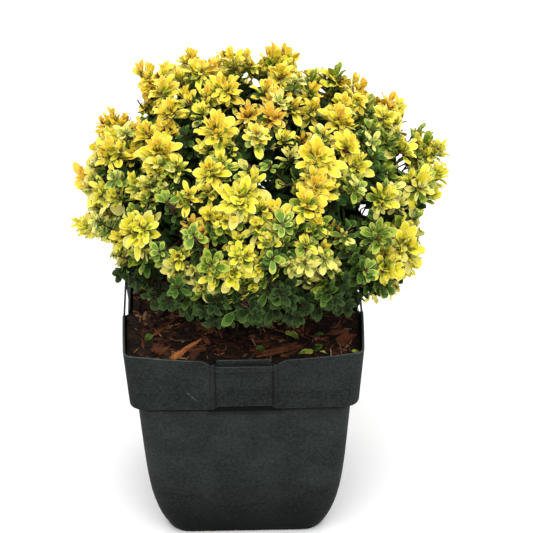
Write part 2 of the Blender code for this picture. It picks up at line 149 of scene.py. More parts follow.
class Graph:
    """The node tree of one material, built round its Principled shader."""

    def __init__(self, name: str) -> None:
        """Make an empty material with its shader."""
        self.material = bpy.data.materials.new(name)
        self.material.use_nodes = True
        self.tree = self.material.node_tree
        self.shader = self.tree.nodes["Principled BSDF"]

    @staticmethod
    def _find(sockets: Sequence[bpy.types.NodeSocket], key: str | int) -> bpy.types.NodeSocket:
        """The socket with a number, identifier or name."""
        if isinstance(key, int):
            return sockets[key]
        return next(socket for socket in sockets if key in (socket.identifier, socket.name))

    def _feed(self, sockets: bpy.types.NodeInputs, key: str | int, value: object) -> None:
        """Link or set one input.

        Args:
            sockets: The node's inputs.
            key: The input's number, identifier or name.
            value: A wire, a number, a colour or a vector.
        """
        target = self._find(sockets, key)
        if isinstance(value, Wire):
            self.tree.links.new(value.socket, target)
        elif target.type == "RGBA":
            target.default_value = (*value, 1.0)
        else:
            target.default_value = value

    def node(self, kind: str, settings: dict | None = None, inputs: dict | None = None,
             output: str | int = 0) -> Wire:
        """Add a node.

        Args:
            kind: The node's type.
            settings: Its own settings, which are set first. "stops" are a ramp's stops.
            inputs: Values or wires for its inputs.
            output: The output that is wanted.

        Returns:
            The wire from that output.
        """
        made = self.tree.nodes.new(kind)
        for name, value in (settings or {}).items():
            if name != "stops":
                setattr(made, name, value)
                continue
            for stop, (place, colour) in enumerate(value):
                slots = made.color_ramp.elements
                slot = slots[stop] if stop < len(slots) else slots.new(place)
                slot.position = place
                slot.color = (*colour, 1.0)
        for key, value in (inputs or {}).items():
            self._feed(made.inputs, key, value)
        return Wire(self, self._find(made.outputs, output))

    def place(self, stretch: Sequence[float] = (1.0, 1.0, 1.0)) -> Wire:
        """The object's own coordinates in metres, stretched along its axes.

        Args:
            stretch: A factor for each axis.

        Returns:
            The wire of the coordinates.
        """
        at = self.node("ShaderNodeTexCoord", output="Object")
        return self.node("ShaderNodeVectorMath", {"operation": "MULTIPLY"}, {0: at, 1: tuple(stretch)})

    def grain(self, scale: float, detail: float = 3.0, stretch: Sequence[float] = (1.0, 1.0, 1.0),
              rough: float = 0.5) -> Wire:
        """A noise from 0 to 1 over the object's own coordinates.

        Args:
            scale: Lumps in a metre.
            detail: Octaves of finer noise.
            stretch: A factor for each axis.
            rough: How strong the finer octaves are.

        Returns:
            The wire of the noise.
        """
        inputs = {"Vector": self.place(stretch), "Scale": scale, "Detail": detail, "Roughness": rough}
        return self.node("ShaderNodeTexNoise", {}, inputs, "Fac")

    def mix(self, share: Wire, first: Wire | Colour, second: Wire | Colour) -> Wire:
        """Blend two colours.

        Args:
            share: How much of the second colour shows.
            first: The first colour.
            second: The second colour.

        Returns:
            The blended colour.
        """
        ends = {"Factor_Float": share, "A_Color": first, "B_Color": second}
        return self.node("ShaderNodeMix", {"data_type": "RGBA"}, ends, "Result_Color")

    def bump(self, height: Wire, depth: float, strength: float = 1.0) -> Wire:
        """A normal that follows a height.

        Args:
            height: The height, from 0 to 1.
            depth: What a height of 1 stands for, in metres.
            strength: How much of it shows.

        Returns:
            The wire of the normal.
        """
        return self.node("ShaderNodeBump", {}, {"Height": height, "Distance": depth, "Strength": strength})

    def surface(self, **values: object) -> bpy.types.Material:
        """Set the shader's inputs, named with underscores for spaces.

        Args:
            **values: A wire or a value for each input.

        Returns:
            The finished material.
        """
        for name, value in values.items():
            self._feed(self.shader.inputs, name.replace("_", " "), value)
        return self.material


@dataclass(frozen=True)
class PotPlastic:
    """Matt dark moulded plastic: cloudy, with a few pale scuffs, and with painted shade at the foot, along the
    panels' edges, on the collar and under the straps, the collar's lip and the panels.
    """

    name: str = "pot_plastic"
    dark: Colour = tint(18, 22, 21)
    pale: Colour = tint(45, 49, 48)
    # The near-black colour of the painted shade.
    painted_shade_colour: Colour = tint(6, 8, 8)
    scuff: Colour = tint(104, 112, 110)
    cloud_scale: float = 38.0
    speck_scale: float = 520.0
    dust_scale: float = 760.0
    foot_top: float = 0.11
    foot_shade: tuple[float, float] = (-0.010, 0.075)
    shoulder: float = 0.1425
    # Top of the collar's lower band, which is painted darker as shade.
    collar_line: float = 0.1605
    panel_edges: tuple[float, float] = (0.0216, 0.0256)
    strap_foot: float = 0.1775
    scratched: tuple[float, float, float] = (-0.0395, -0.0891, 0.1565)
    scratch_slope: float = 0.857

    def painted_shade_share(self, graph: Graph, at: Wire, height: Wire) -> Wire:
        """Painted shade and painted shadows: along the panels' edges, under the straps, the collar's lip and the
        panels, and at the foot.

        Args:
            graph: The material's nodes.
            at: The object's coordinates.
            height: Their height.

        Returns:
            The wire of their share.
        """
        across = abs(graph.node("ShaderNodeSeparateXYZ", {}, {"Vector": at}, "X"))
        across = across.least(abs(graph.node("ShaderNodeSeparateXYZ", {}, {"Vector": at}, "Y")))
        inner, outer = self.panel_edges
        # Painted shade: dark lines along both edges of each panel.
        edges = across.line(inner, 0.0009) * 0.8 + across.line(outer, 0.0009) * 0.45
        on_collar = height.band(self.shoulder, self.shoulder + 0.001)
        # Painted shadow under each strap.
        under_strap = height.line(self.strap_foot, 0.0017) * (1.0 - across.band(inner, inner + 0.001)) * 0.8
        below = 1.0 - height.band(self.shoulder - 0.0001, self.shoulder + 0.0001)
        # Painted shadow under the collar's lip.
        under_lip = height.band(self.shoulder - 0.0072, self.shoulder - 0.0042) * below * 0.8
        # A wider painted shadow under each panel.
        under_panel = height.band(self.shoulder - 0.0105, self.shoulder - 0.0085) * below
        under_panel = under_panel * (1.0 - across.band(outer + 0.001, outer + 0.004)) * 0.42
        # Painted shade at the foot.
        foot = 1.0 - height.band(*self.foot_shade)
        return edges * on_collar + under_strap + under_lip + under_panel + foot * 0.9

    def material(self) -> bpy.types.Material:
        """The finished material."""
        graph = Graph(self.name)
        clouds = graph.grain(self.cloud_scale, 4.0)
        specks = graph.grain(self.speck_scale, 2.0)
        at = graph.node("ShaderNodeTexCoord", output="Object")
        height = graph.node("ShaderNodeSeparateXYZ", {}, {"Vector": at}, "Z")
        # Paler up to foot_top, so darker towards the bottom.
        rise = height.band(0.0, self.foot_top)
        # The collar is darker, most of all in its lower band up to collar_line: painted shade.
        collar = height.band(self.shoulder, self.shoulder + 0.002)
        collar = collar * (1.0 - height.band(self.collar_line - 0.0006, self.collar_line + 0.0006) * 0.55)
        share = clouds.band(0.3, 0.75) * 0.36 + specks.band(0.3, 0.7) * 0.50 + rise * 0.2 - collar * 0.24
        base = graph.mix(share, self.dark, self.pale)
        # Mix the painted shade and painted shadows toward their near-black colour.
        base = graph.mix(self.painted_shade_share(graph, at, height), base, self.painted_shade_colour)
        x, _, z = self.scratched
        slant = graph.node("ShaderNodeSeparateXYZ", {}, {"Vector": at}, "X") + height * self.scratch_slope
        near = graph.node("ShaderNodeVectorMath", {"operation": "DISTANCE"}, {0: at, 1: self.scratched}, "Value")
        scratch = slant.line(x + z * self.scratch_slope, 0.0006) * (1.0 - near.band(0.004, 0.006))
        dust = graph.grain(self.dust_scale, 1.0).band(0.75, 0.80)
        marks = scratch * graph.grain(600.0, 1.0).band(0.40, 0.55) * 0.8 + dust * 0.35
        skin = graph.bump(specks + clouds * 0.5, 0.00012, 0.5)
        return graph.surface(Base_Color=graph.mix(marks, base, self.scuff), Roughness=0.70 - clouds * 0.15,
                             Specular_IOR_Level=0.04, Normal=skin)


@dataclass(frozen=True)
class DampMix:
    """Damp potting mix or bark: dark, with patches of a second colour and a crumbly skin."""

    name: str
    dark: Colour
    pale: Colour
    patch_scale: float = 70.0
    crumb_scale: float = 900.0
    depth: float = 0.0006

    def material(self) -> bpy.types.Material:
        """The finished material."""
        graph = Graph(self.name)
        patches = graph.grain(self.patch_scale, 5.0, rough=0.62)
        crumbs = graph.grain(self.crumb_scale, 4.0, rough=0.6)
        share = patches.band(0.36, 0.70) * 0.75 + crumbs.band(0.35, 0.75) * 0.35 - 0.05
        skin = graph.bump(crumbs, self.depth, 0.7)
        return graph.surface(Base_Color=graph.mix(share, self.dark, self.pale),
                             Roughness=0.92 - patches * 0.25, Specular_IOR_Level=0.15, Normal=skin)


@dataclass(frozen=True)
class Bark:
    """Ridged bark: long furrows of a darker colour along the limb."""

    name: str
    furrow: Colour
    ridge: Colour
    scale: float = 260.0
    depth: float = 0.0004

    def material(self) -> bpy.types.Material:
        """The finished material."""
        graph = Graph(self.name)
        ridges = graph.grain(self.scale, 5.0, (1.0, 1.0, 0.3), 0.6)
        flecks = graph.grain(self.scale * 4.0, 2.0)
        share = ridges.band(0.35, 0.68) * 0.8 + flecks.band(0.4, 0.7) * 0.2
        skin = graph.bump(ridges, self.depth, 0.8)
        return graph.surface(Base_Color=graph.mix(share, self.furrow, self.ridge),
                             Roughness=0.88 - ridges * 0.2, Normal=skin)


class Zone(Enum):
    """The parts of a leaf that have a colour of their own, as material numbers."""

    STALK = 0
    HEART = 1
    BLADE = 2
    MARGIN = 3


class Tone(Enum):
    """The kinds of leaf, from the most sunlit to the most shaded."""

    AMBER = 0
    GOLD = 1
    LEMON = 2
    CREAM = 3
    LIME = 4
    GREEN = 5
    SHADE = 6
    DEEP = 7


@dataclass(frozen=True)
class LeafPaint:
    """The plain colours of one kind of leaf: its stalk end, the heart along its midrib, blade and margin."""

    stalk: Colour
    heart: Colour
    blade: Colour
    margin: Colour
    shine: float = 0.25
    roughness: float = 0.46

    def materials(self, name: str) -> list[bpy.types.Material]:
        """The materials, in the order of Zone.

        Args:
            name: The start of the materials' names.

        Returns:
            One material for each zone of the leaf.
        """
        made = []
        for zone, colour in zip(Zone, (self.stalk, self.heart, self.blade, self.margin)):
            graph = Graph(f"{name}_{zone.name.lower()}")
            made.append(graph.surface(Base_Color=colour, Roughness=self.roughness,
                                      Specular_IOR_Level=self.shine))
        return made


PAINTS = {
    Tone.AMBER: LeafPaint(tint(146, 80, 34), tint(206, 170, 44), tint(240, 198, 62), tint(246, 220, 130)),
    Tone.GOLD: LeafPaint(tint(146, 98, 36), tint(160, 170, 34), tint(240, 214, 56), tint(248, 234, 136)),
    Tone.LEMON: LeafPaint(tint(116, 100, 34), tint(138, 162, 34), tint(230, 219, 60), tint(248, 240, 142)),
    Tone.CREAM: LeafPaint(tint(112, 98, 44), tint(140, 160, 58), tint(216, 208, 100), tint(238, 226, 146)),
    Tone.LIME: LeafPaint(tint(88, 84, 34), tint(94, 128, 36), tint(150, 168, 52), tint(208, 206, 106)),
    Tone.GREEN: LeafPaint(tint(54, 50, 24), tint(50, 78, 26), tint(76, 104, 40), tint(112, 134, 62), 0.06, 0.55),
    Tone.SHADE: LeafPaint(tint(34, 34, 16), tint(30, 45, 20), tint(47, 66, 31), tint(70, 88, 46), 0.05, 0.55),
    Tone.DEEP: LeafPaint(tint(34, 34, 18), tint(31, 48, 21), tint(44, 65, 30), tint(72, 90, 46), 0.04, 0.6),
}


# Meshes

def mesh_from_arrays(name: str, points: np.ndarray, triangles: np.ndarray,
                     zones: np.ndarray | None = None) -> bpy.types.Mesh:
    """A smooth mesh of triangles.

    Args:
        name: The mesh's name.
        points: One row of three coordinates for each vertex.
        triangles: One row of three vertex numbers for each face.
        zones: The material number of each face.

    Returns:
        The mesh.
    """
    mesh = bpy.data.meshes.new(name)
    mesh.vertices.add(len(points))
    mesh.vertices.foreach_set("co", points.astype(np.float32).ravel())
    mesh.loops.add(triangles.size)
    mesh.loops.foreach_set("vertex_index", triangles.astype(np.int32).ravel())
    mesh.polygons.add(len(triangles))
    mesh.polygons.foreach_set("loop_start", np.arange(0, triangles.size, 3, dtype=np.int32))
    if zones is not None:
        mesh.polygons.foreach_set("material_index", zones.astype(np.int32))
    mesh.update(calc_edges=True)
    mesh.validate()
    mesh.shade_smooth()
    return mesh


def mesh_of_rings(name: str, rings: Sequence[Ring], sharp: float = 35.0) -> bpy.types.Mesh:
    """A closed mesh through rings of points, listed from one end cap to the other.

    Args:
        name: The mesh's name.
        rings: Rings with the same number of points each.
        sharp: Edges with more than this angle stay sharp, in degrees.

    Returns:
        The mesh.
    """
    count = len(rings[0])
    points = [point for ring in rings for point in ring]
    faces = [tuple(reversed(range(count))), tuple(range(len(points) - count, len(points)))]
    for level in range(len(rings) - 1):
        for k in range(count):
            n = (k + 1) % count
            low, high = level * count, (level + 1) * count
            faces.append((low + k, low + n, high + n, high + k))
    mesh = bpy.data.meshes.new(name)
    mesh.from_pydata([tuple(point) for point in points], [], faces)
    mesh.validate()
    mesh.shade_smooth()
    mesh.set_sharp_from_angle(angle=math.radians(sharp))
    return mesh


def tube_rings(path: Sequence[Vector], radii: Sequence[float], sides: int) -> list[Ring]:
    """Rings of points round a path, turned as little as possible from one to the next.

    Args:
        path: Points along the middle.
        radii: The radius at each point.
        sides: Points in a ring.

    Returns:
        The rings.
    """
    rings = []
    across = None
    for k, centre in enumerate(path):
        ahead = (path[min(k + 1, len(path) - 1)] - path[max(k - 1, 0)]).normalized()
        if across is None:
            across = ahead.orthogonal()
        across = (across - ahead * across.dot(ahead)).normalized()
        up = ahead.cross(across)
        ring = []
        for side in range(sides):
            angle = 2.0 * math.pi * side / sides
            ring.append(centre + radii[k] * (math.cos(angle) * across + math.sin(angle) * up))
        rings.append(ring)
    return rings


class Bundle:
    """Many small closed tubes or slabs that become one mesh."""

    def __init__(self) -> None:
        """Start empty."""
        self.points: list[Vector] = []
        self.faces: list[tuple[int, ...]] = []

    def add_rings(self, rings: Sequence[Ring]) -> None:
        """Add one closed body through its rings.

        Args:
            rings: Rings with the same number of points each.
        """
        first = len(self.points)
        count = len(rings[0])
        for ring in rings:
            self.points.extend(ring)
        for level in range(len(rings) - 1):
            low = first + level * count
            for k in range(count):
                n = (k + 1) % count
                self.faces.append((low + k, low + n, low + count + n, low + count + k))
        self.faces.append(tuple(first + k for k in reversed(range(count))))
        last = first + (len(rings) - 1) * count
        self.faces.append(tuple(last + k for k in range(count)))

    def mesh(self, name: str, sharp: float = 40.0) -> bpy.types.Mesh:
        """Join what was added.

        Args:
            name: The mesh's name.
            sharp: Edges with more than this angle stay sharp, in degrees.

        Returns:
            The mesh.
        """
        mesh = bpy.data.meshes.new(name)
        mesh.from_pydata([tuple(point) for point in self.points], [], self.faces)
        mesh.validate()
        mesh.shade_smooth()
        mesh.set_sharp_from_angle(angle=math.radians(sharp))
        return mesh


def show(name: str, mesh: bpy.types.Mesh, materials: Sequence[bpy.types.Material], slot: str,
         nodes: Sequence[str] = ()) -> bpy.types.Object:
    """Put a piece in the scene, riding on the plant's one body.

    Args:
        name: The piece's name.
        mesh: Its mesh.
        materials: Its materials in order.
        slot: A material slot's name, which is not used.
        nodes: The solids that it stands for.

    Returns:
        The piece.
    """
    piece = bpy.data.objects.new(name, mesh)
    bpy.context.scene.collection.objects.link(piece)
    for material in materials:
        mesh.materials.append(material)
    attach(piece, BODY)
    if nodes:
        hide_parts(*nodes)
    LOG.info("%s: %d faces", name, len(mesh.polygons))
    return piece


def nodes_named(start: str) -> list[str]:
    """The solids whose names begin with a word."""
    return sorted(name for name in frame["nodes"] if name.startswith(start))


# Pot

@dataclass
class NurseryPot:
    """The square pot: a foot that curves in, a wider collar, and a strap over a sunk panel a side."""

    height: float = 0.1955
    rim_half: float = 0.0900
    collar_depth: float = 0.0530
    collar_step: float = 0.0055
    taper: float = 0.062
    foot_curve_height: float = 0.1190
    foot_pull: float = 0.0111
    foot_curve_power: float = 4.1
    foot_edge: float = 0.0015
    corner_at_rim: float = 0.0075
    corner_at_foot: float = 0.0175
    side_bow: float = 0.0012
    collar_bow: float = 0.0008
    wall: float = 0.0018
    floor: float = 0.0025
    rim_round: float = 0.0007
    lip_round: float = 0.0016
    rim_dip: float = 0.0049
    # Upward faces of the rim above this height get the painted highlight.
    rim_highlight_above: float = 0.180
    notch_depth: float = 0.0052
    notch_foot: tuple[float, float] = (0.0218, 0.0238)
    notch_half: float = 0.0325
    notch_fall: float = 1.6
    recess_half: float = 0.0215
    recess_edge: float = 0.0042
    recess_depth: float = 0.0040
    recess_at_lip: float = 0.0030
    tab_half: float = 0.0208
    tab_drop: float = 0.0013
    tab_corner: float = 0.0022
    strap_half: float = 0.0268
    strap_flat_half: float = 0.0185
    strap_set_back: float = 0.0005
    strap_thickness: float = 0.0013
    strap_height: float = 0.0050
    strap_drop: float = 0.0051
    strap_end_rise: float = 0.0014
    corner_steps: int = 8
    round_steps: int = 4
    body_levels: int = 14
    collar_levels: int = 8
    strap_steps: int = 28

    @property
    def shoulder(self) -> float:
        """The height of the collar's lower edge."""
        return self.height - self.collar_depth

    @property
    def inner_half(self) -> float:
        """Half the clear width inside the rim."""
        return self.rim_half - self.wall

    def collar_half(self, z: float) -> float:
        """Half the collar's outside width at a height."""
        return self.rim_half - self.taper * (self.height - z)

    def body_half(self, z: float) -> float:
        """Half the body's outside width at a height, up to the collar's lower edge.

        Args:
            z: The height.

        Returns:
            The half width.
        """
        below = max(0.0, (self.foot_curve_height - z) / self.foot_curve_height)
        pull = self.foot_pull * below ** self.foot_curve_power
        top = self.collar_half(self.shoulder) - self.collar_step
        return top - self.taper * (self.shoulder - z) - pull

    def corner_radius(self, z: float) -> float:
        """The plan radius of the corners at a height."""
        return blend(self.corner_at_foot, self.corner_at_rim, z / self.height)

    def stops(self) -> list[float]:
        """Places along a side, close together at the tab's corners and the panel's edges.

        Returns:
            The places from left to right, in metres from the middle.
        """
        half = [0.0, 0.007, 0.014, 0.0178, 0.0190, 0.0198, 0.0204, self.tab_half, self.recess_half]
        half += [self.recess_half + self.recess_edge * share for share in (0.08, 0.25, 0.5, 0.75, 1.0)]
        half += [0.0270, 0.0290, 0.0308, self.notch_half, 0.036, 0.043, 0.053, 0.064, 0.075]
        return [-stop for stop in reversed(half[1:])] + half

    def rim_drop(self, stop: float) -> float:
        """How far the rim lies below its corners at a place along a side.

        It dips to the middle, with a notch at each end of the strap and a tab between them.

        Args:
            stop: The place, in metres from the side's middle.

        Returns:
            The drop.
        """
        off = abs(stop)
        share = stop / (self.rim_half - self.corner_at_rim)
        dip = self.rim_dip * (1.0 - share * share)
        if off <= self.tab_half:
            round_off = max(0.0, off - self.tab_half + self.tab_corner) / self.tab_corner
            corner = self.tab_corner * (1.0 - math.sqrt(1.0 - round_off * round_off))
            return self.rim_dip + self.tab_drop + corner
        start, foot = self.notch_foot
        if off <= start:
            rise = (start - off) / (start - self.tab_half)
            low = self.rim_dip + self.tab_drop + self.tab_corner
            return blend(dip + self.notch_depth, low, rise)
        left = min(1.0, max(0.0, (self.notch_half - off) / (self.notch_half - foot)))
        return dip + self.notch_depth * left ** self.notch_fall

    def ring(self, half: float, z: float, inset: float = 0.0, rim_share: float = 0.0,
             recess: float = 0.0, drop_share: float | None = None) -> Ring:
        """Points round a square with round corners and sides that bow out a little.

        Args:
            half: Half the width.
            z: The height.
            inset: How far the ring lies inside the outer wall, which its corners follow.
            rim_share: How much of the collar's bow it has.
            recess: How far the panel in the middle of a side is set back.
            drop_share: How much of the rim's dip it has, where that isn't rim_share.

        Returns:
            The ring, from the front's left end round by the right.
        """
        rim_straight = self.rim_half - self.corner_at_rim
        radius = self.corner_radius(z) - inset
        straight = half - radius
        bow = self.side_bow * z / self.height + self.collar_bow * rim_share
        drop_share = rim_share if drop_share is None else drop_share
        points = []
        for quarter in range(4):
            turn = Matrix.Rotation(quarter * math.pi / 2.0, 3, "Z")
            for stop in self.stops():
                share = stop / rim_straight
                edge = (self.recess_half + self.recess_edge - abs(stop)) / self.recess_edge
                panel = min(1.0, max(0.0, edge))
                outward = half + bow * (1.0 - share * share) - recess * panel
                height = z - self.rim_drop(stop) * drop_share
                points.append(turn @ Vector((share * straight, -outward, height)))
            for step in range(self.corner_steps + 1):
                angle = -math.pi / 2.0 * (1.0 - step / self.corner_steps)
                corner = Vector((straight, -straight, z))
                points.append(turn @ (corner + radius * Vector((math.cos(angle), math.sin(angle), 0.0))))
        return points

    def foot_rings(self) -> list[Ring]:
        """The rounded edge round the underside and the body's outside up to the collar.

        Returns:
            The rings from the bottom up.
        """
        rings = []
        for step in range(self.round_steps + 1):
            angle = math.pi / 2.0 * step / self.round_steps
            z = self.foot_edge * (1.0 - math.cos(angle))
            rings.append(self.ring(self.body_half(z) - self.foot_edge * (1.0 - math.sin(angle)), z))
        for level in range(1, self.body_levels + 1):
            share = (level / self.body_levels) ** 1.4
            z = blend(self.foot_edge, self.shoulder, share)
            rings.append(self.ring(self.body_half(z), z))
        return rings

    def collar_rings(self) -> list[Ring]:
        """The collar's rounded lower lip, its outside and the rounded rim.

        Returns:
            The rings from the bottom up.
        """
        rings = []
        for step in range(self.round_steps + 1):
            angle = math.pi / 2.0 * step / self.round_steps
            z = self.shoulder + self.lip_round * (1.0 - math.cos(angle))
            half = self.collar_half(z) - self.lip_round * (1.0 - math.sin(angle))
            recess = blend(self.recess_at_lip, self.recess_depth, math.sin(angle))
            rings.append(self.ring(half, z, recess=recess))
        low = self.shoulder + self.lip_round
        top = self.height - self.rim_round
        for level in range(1, self.collar_levels + 1):
            share = level / self.collar_levels
            z = blend(low, top, share)
            rings.append(self.ring(self.collar_half(z), z, rim_share=share, recess=self.recess_depth,
                                   drop_share=share * share))
        for step in range(1, self.round_steps + 1):
            angle = math.pi / 2.0 * step / self.round_steps
            half = self.rim_half - self.rim_round * (1.0 - math.cos(angle))
            z = top + self.rim_round * math.sin(angle)
            rings.append(self.ring(half, z, rim_share=1.0, recess=self.recess_depth))
        return rings

    def inside_rings(self) -> list[Ring]:
        """The rim's rounded inner edge and the inside down to the floor.

        Returns:
            The rings from the top down.
        """
        rings = []
        for step in range(self.round_steps + 1):
            angle = math.pi / 2.0 * step / self.round_steps
            half = self.inner_half + self.rim_round * (1.0 - math.sin(angle))
            z = self.height - self.rim_round * (1.0 - math.cos(angle))
            rings.append(self.ring(half, z, self.wall, 1.0, self.recess_depth))
        ledge = self.shoulder + self.wall
        for share in (0.75, 0.4, 0.0):
            z = blend(ledge, self.height, share)
            rings.append(self.ring(self.collar_half(z) - self.wall, z, self.wall, share, self.recess_depth,
                                   share * share))
        rings.append(self.ring(self.body_half(self.shoulder) - self.wall, ledge, self.wall))
        for share in (0.75, 0.5, 0.25, 0.1, 0.0):
            z = blend(self.floor, self.shoulder, share)
            rings.append(self.ring(self.body_half(z) - self.wall, z, self.wall))
        return rings

    def straps(self) -> Bundle:
        """The thin strap across each side's panel, whose ends run up into the collar.

        Returns:
            The four straps.
        """
        bundle = Bundle()
        face = self.rim_half + self.side_bow + self.collar_bow - self.strap_set_back
        top = self.height - self.rim_dip - self.strap_drop
        half_thick = self.strap_thickness / 2.0
        half_tall = self.strap_height / 2.0
        section = []
        for corner_y, corner_z, first in ((-1.0, -1.0, 180.0), (1.0, -1.0, 270.0), (1.0, 1.0, 0.0),
                                          (-1.0, 1.0, 90.0)):
            for turn in (0.0, 45.0, 90.0):
                angle = math.radians(first + turn)
                radius = half_thick * 0.6
                section.append((corner_y * (half_thick - radius) + radius * math.cos(angle),
                                corner_z * (half_tall - radius) + radius * math.sin(angle)))
        for quarter in range(4):
            turn = Matrix.Rotation(quarter * math.pi / 2.0, 3, "Z")
            rings = []
            for step in range(self.strap_steps + 1):
                x = blend(-self.strap_half, self.strap_half, step / self.strap_steps)
                end = max(0.0, abs(x) - self.strap_flat_half) / (self.strap_half - self.strap_flat_half)
                lift = self.strap_end_rise * end * end * (3.0 - 2.0 * end)
                ring = []
                for y, z in section:
                    ring.append(turn @ Vector((x, y - face + half_thick, top - half_tall + z + lift)))
                rings.append(ring)
            bundle.add_rings(rings)
        return bundle

    def build(self) -> None:
        """Make the pot, with its straps joined on, in place of the solid."""
        rings = self.foot_rings() + self.collar_rings() + self.inside_rings()
        pot = bpy.data.objects.new("pot_shape", mesh_of_rings("pot_shape", rings))
        bpy.context.scene.collection.objects.link(pot)
        straps = bpy.data.objects.new("straps", self.straps().mesh("straps"))
        bpy.context.scene.collection.objects.link(straps)
        join = pot.modifiers.new("straps", "BOOLEAN")
        join.operation = "UNION"
        join.solver = "EXACT"
        join.object = straps
        graph = bpy.context.evaluated_depsgraph_get()
        mesh = bpy.data.meshes.new_from_object(pot.evaluated_get(graph))
        mesh.materials.clear()
        mesh.shade_smooth()
        mesh.set_sharp_from_angle(angle=math.radians(35.0))
        bpy.data.objects.remove(pot, do_unlink=True)
        bpy.data.objects.remove(straps, do_unlink=True)
        # A paler copy of the plastic on the rim's upward faces: a painted highlight.
        rim_highlight = PotPlastic("painted_rim_highlight", tint(58, 64, 63), tint(86, 93, 91))
        show("nursery_pot", mesh, [PotPlastic().material(), rim_highlight.material()], "pot_plastic", ["pot"])
        for face in mesh.polygons:
            if face.center.z > self.rim_highlight_above and face.normal.z > 0.6:
                face.material_index = 1


# Soil

@dataclass(frozen=True)
class Litter:
    """One kind of bark piece that lies on the mix."""

    name: str
    count: int
    length: tuple[float, float]
    width: float
    thickness: float
    finish: DampMix


@dataclass
class PottingMix:
    """The mix that fills the pot, with bark chips, splinters, stalks and fallen leaves on it."""

    pot: NurseryPot
    camera: "PhotoCamera"
    edge_height: float = 0.1862
    middle_height: float = 0.1890
    lump: float = 0.0016
    lump_scale: float = 95.0
    crumb: float = 0.0007
    crumb_scale: float = 420.0
    patch_share: float = 0.12
    levels: int = 44
    clear_of_wall: float = 0.0028
    stalk_count: int = 40
    strands: int = 5
    strand_lift: float = 0.0013
    seed: int = 31
    kinds: tuple[Litter, ...] = (
        Litter("bark_chips_dark", 420, (0.004, 0.014), 0.50, 0.0016,
               DampMix("chip_dark", tint(26, 16, 12), tint(52, 32, 22))),
        Litter("bark_chips_brown", 300, (0.005, 0.018), 0.42, 0.0015,
               DampMix("chip_brown", tint(40, 23, 16), tint(86, 52, 36))),
        Litter("bark_chips_red", 110, (0.006, 0.020), 0.36, 0.0014,
               DampMix("chip_red", tint(76, 42, 26), tint(126, 74, 46))),
        Litter("bark_chips_tan", 90, (0.003, 0.009), 0.36, 0.0012,
               DampMix("chip_tan", tint(104, 74, 48), tint(172, 132, 92))),
        Litter("bark_fibres_dark", 240, (0.008, 0.026), 0.085, 0.0010,
               DampMix("fibre_dark", tint(16, 10, 8), tint(44, 27, 19))),
        Litter("bark_fibres_red", 200, (0.008, 0.028), 0.07, 0.0009,
               DampMix("fibre_red", tint(66, 36, 24), tint(136, 80, 54))),
        Litter("bark_fibres_tan", 210, (0.004, 0.015), 0.09, 0.0008,
               DampMix("fibre_tan", tint(122, 90, 60), tint(206, 168, 122))),
    )

    def height_at(self, x: float, y: float) -> float:
        """The height of the mix's lumpy top at a place.

        Args:
            x: Metres to the right of the middle.
            y: Metres behind the middle.

        Returns:
            The height.
        """
        out = max(abs(x), abs(y)) / self.pot.inner_half
        base = blend(self.middle_height, self.edge_height, min(1.0, out) ** 2)
        lumps = noise.noise(Vector((x, y, 0.3)) * self.lump_scale) * self.lump
        crumbs = noise.noise(Vector((x, y, 0.7)) * self.crumb_scale) * self.crumb
        calm = min(1.0, max(0.0, (out - self.patch_share) / 0.08))
        return base + (lumps + crumbs) * calm

    def body_rings(self) -> list[Ring]:
        """The plug of mix: its underside, its sides and its lumpy top.

        Returns:
            The rings from the bottom up and in to the middle.
        """
        pot = self.pot
        inset = pot.wall + GAP
        ledge = pot.shoulder + inset
        rings = []
        for share in (0.0, 0.1, 0.25, 0.5, 0.75):
            z = blend(pot.floor + GAP, pot.shoulder, share)
            rings.append(pot.ring(pot.body_half(z) - inset, z, inset))
        rings.append(pot.ring(pot.body_half(pot.shoulder) - inset, ledge, inset))
        rings.append(pot.ring(pot.collar_half(ledge) - inset, ledge, inset, recess=pot.recess_depth))
        edge = pot.ring(pot.collar_half(self.edge_height) - inset, self.edge_height, inset,
                        recess=pot.recess_depth)
        for level in range(self.levels):
            share = 1.0 - level / self.levels
            ring = []
            for point in edge:
                x, y = point.x * share, point.y * share
                ring.append(Vector((x, y, self.height_at(x, y))))
            rings.append(ring)
        return rings

    def slab(self, centre: Vector, way: Vector, up: Vector, size: Vector, rng: random.Random) -> list[Ring]:
        """A split piece of bark: a flat body with ragged ends.

        Args:
            centre: Its middle.
            way: The direction of its length.
            up: The direction of its thickness.
            size: Its length, width and thickness.
            rng: The source of its raggedness.

        Returns:
            Rings of points along it.
        """
        across = up.cross(way).normalized()
        rings = []
        bend = rng.uniform(-0.12, 0.12)
        for along, full in ((-0.5, 0.35), (-0.38, 0.85), (-0.05, 1.0), (0.30, 0.9), (0.5, 0.3)):
            along += rng.uniform(-0.05, 0.05)
            middle = centre + way * along * size.x + across * bend * size.x * (0.25 - along * along)
            ring = []
            for x, z in ((-0.5, -0.4), (-0.15, -0.5), (0.4, -0.45), (0.5, 0.3), (0.1, 0.5), (-0.42, 0.42)):
                wide = x * size.y * full * rng.uniform(0.8, 1.15)
                tall = z * size.z * rng.uniform(0.7, 1.2)
                ring.append(middle + across * wide + up * tall)
            rings.append(ring)
        return rings

    def lay(self, bundle: Bundle, at: Vector, turn: float, size: Vector, tilt: float,
            rng: random.Random, lift: float = 0.0) -> None:
        """Lay one slab on the mix.

        Args:
            bundle: What it is added to.
            at: The place of its middle in plan.
            turn: The direction of its length in plan.
            size: Its length, width and thickness.
            tilt: How far it leans, at most.
            rng: The source of its lean and raggedness.
            lift: How far it is raised on other pieces.
        """
        way = Vector((math.cos(turn), math.sin(turn), rng.uniform(-tilt, tilt))).normalized()
        side = way.cross(Vector((0.0, 0.0, 1.0))).normalized()
        roll = Matrix.Rotation(rng.uniform(-tilt, tilt) * 1.6, 3, way)
        up = roll @ side.cross(way).normalized()
        centre = Vector((at.x, at.y, self.height_at(at.x, at.y) + size.z * 0.25 + lift))
        bundle.add_rings(self.slab(centre, way, up, size, rng))

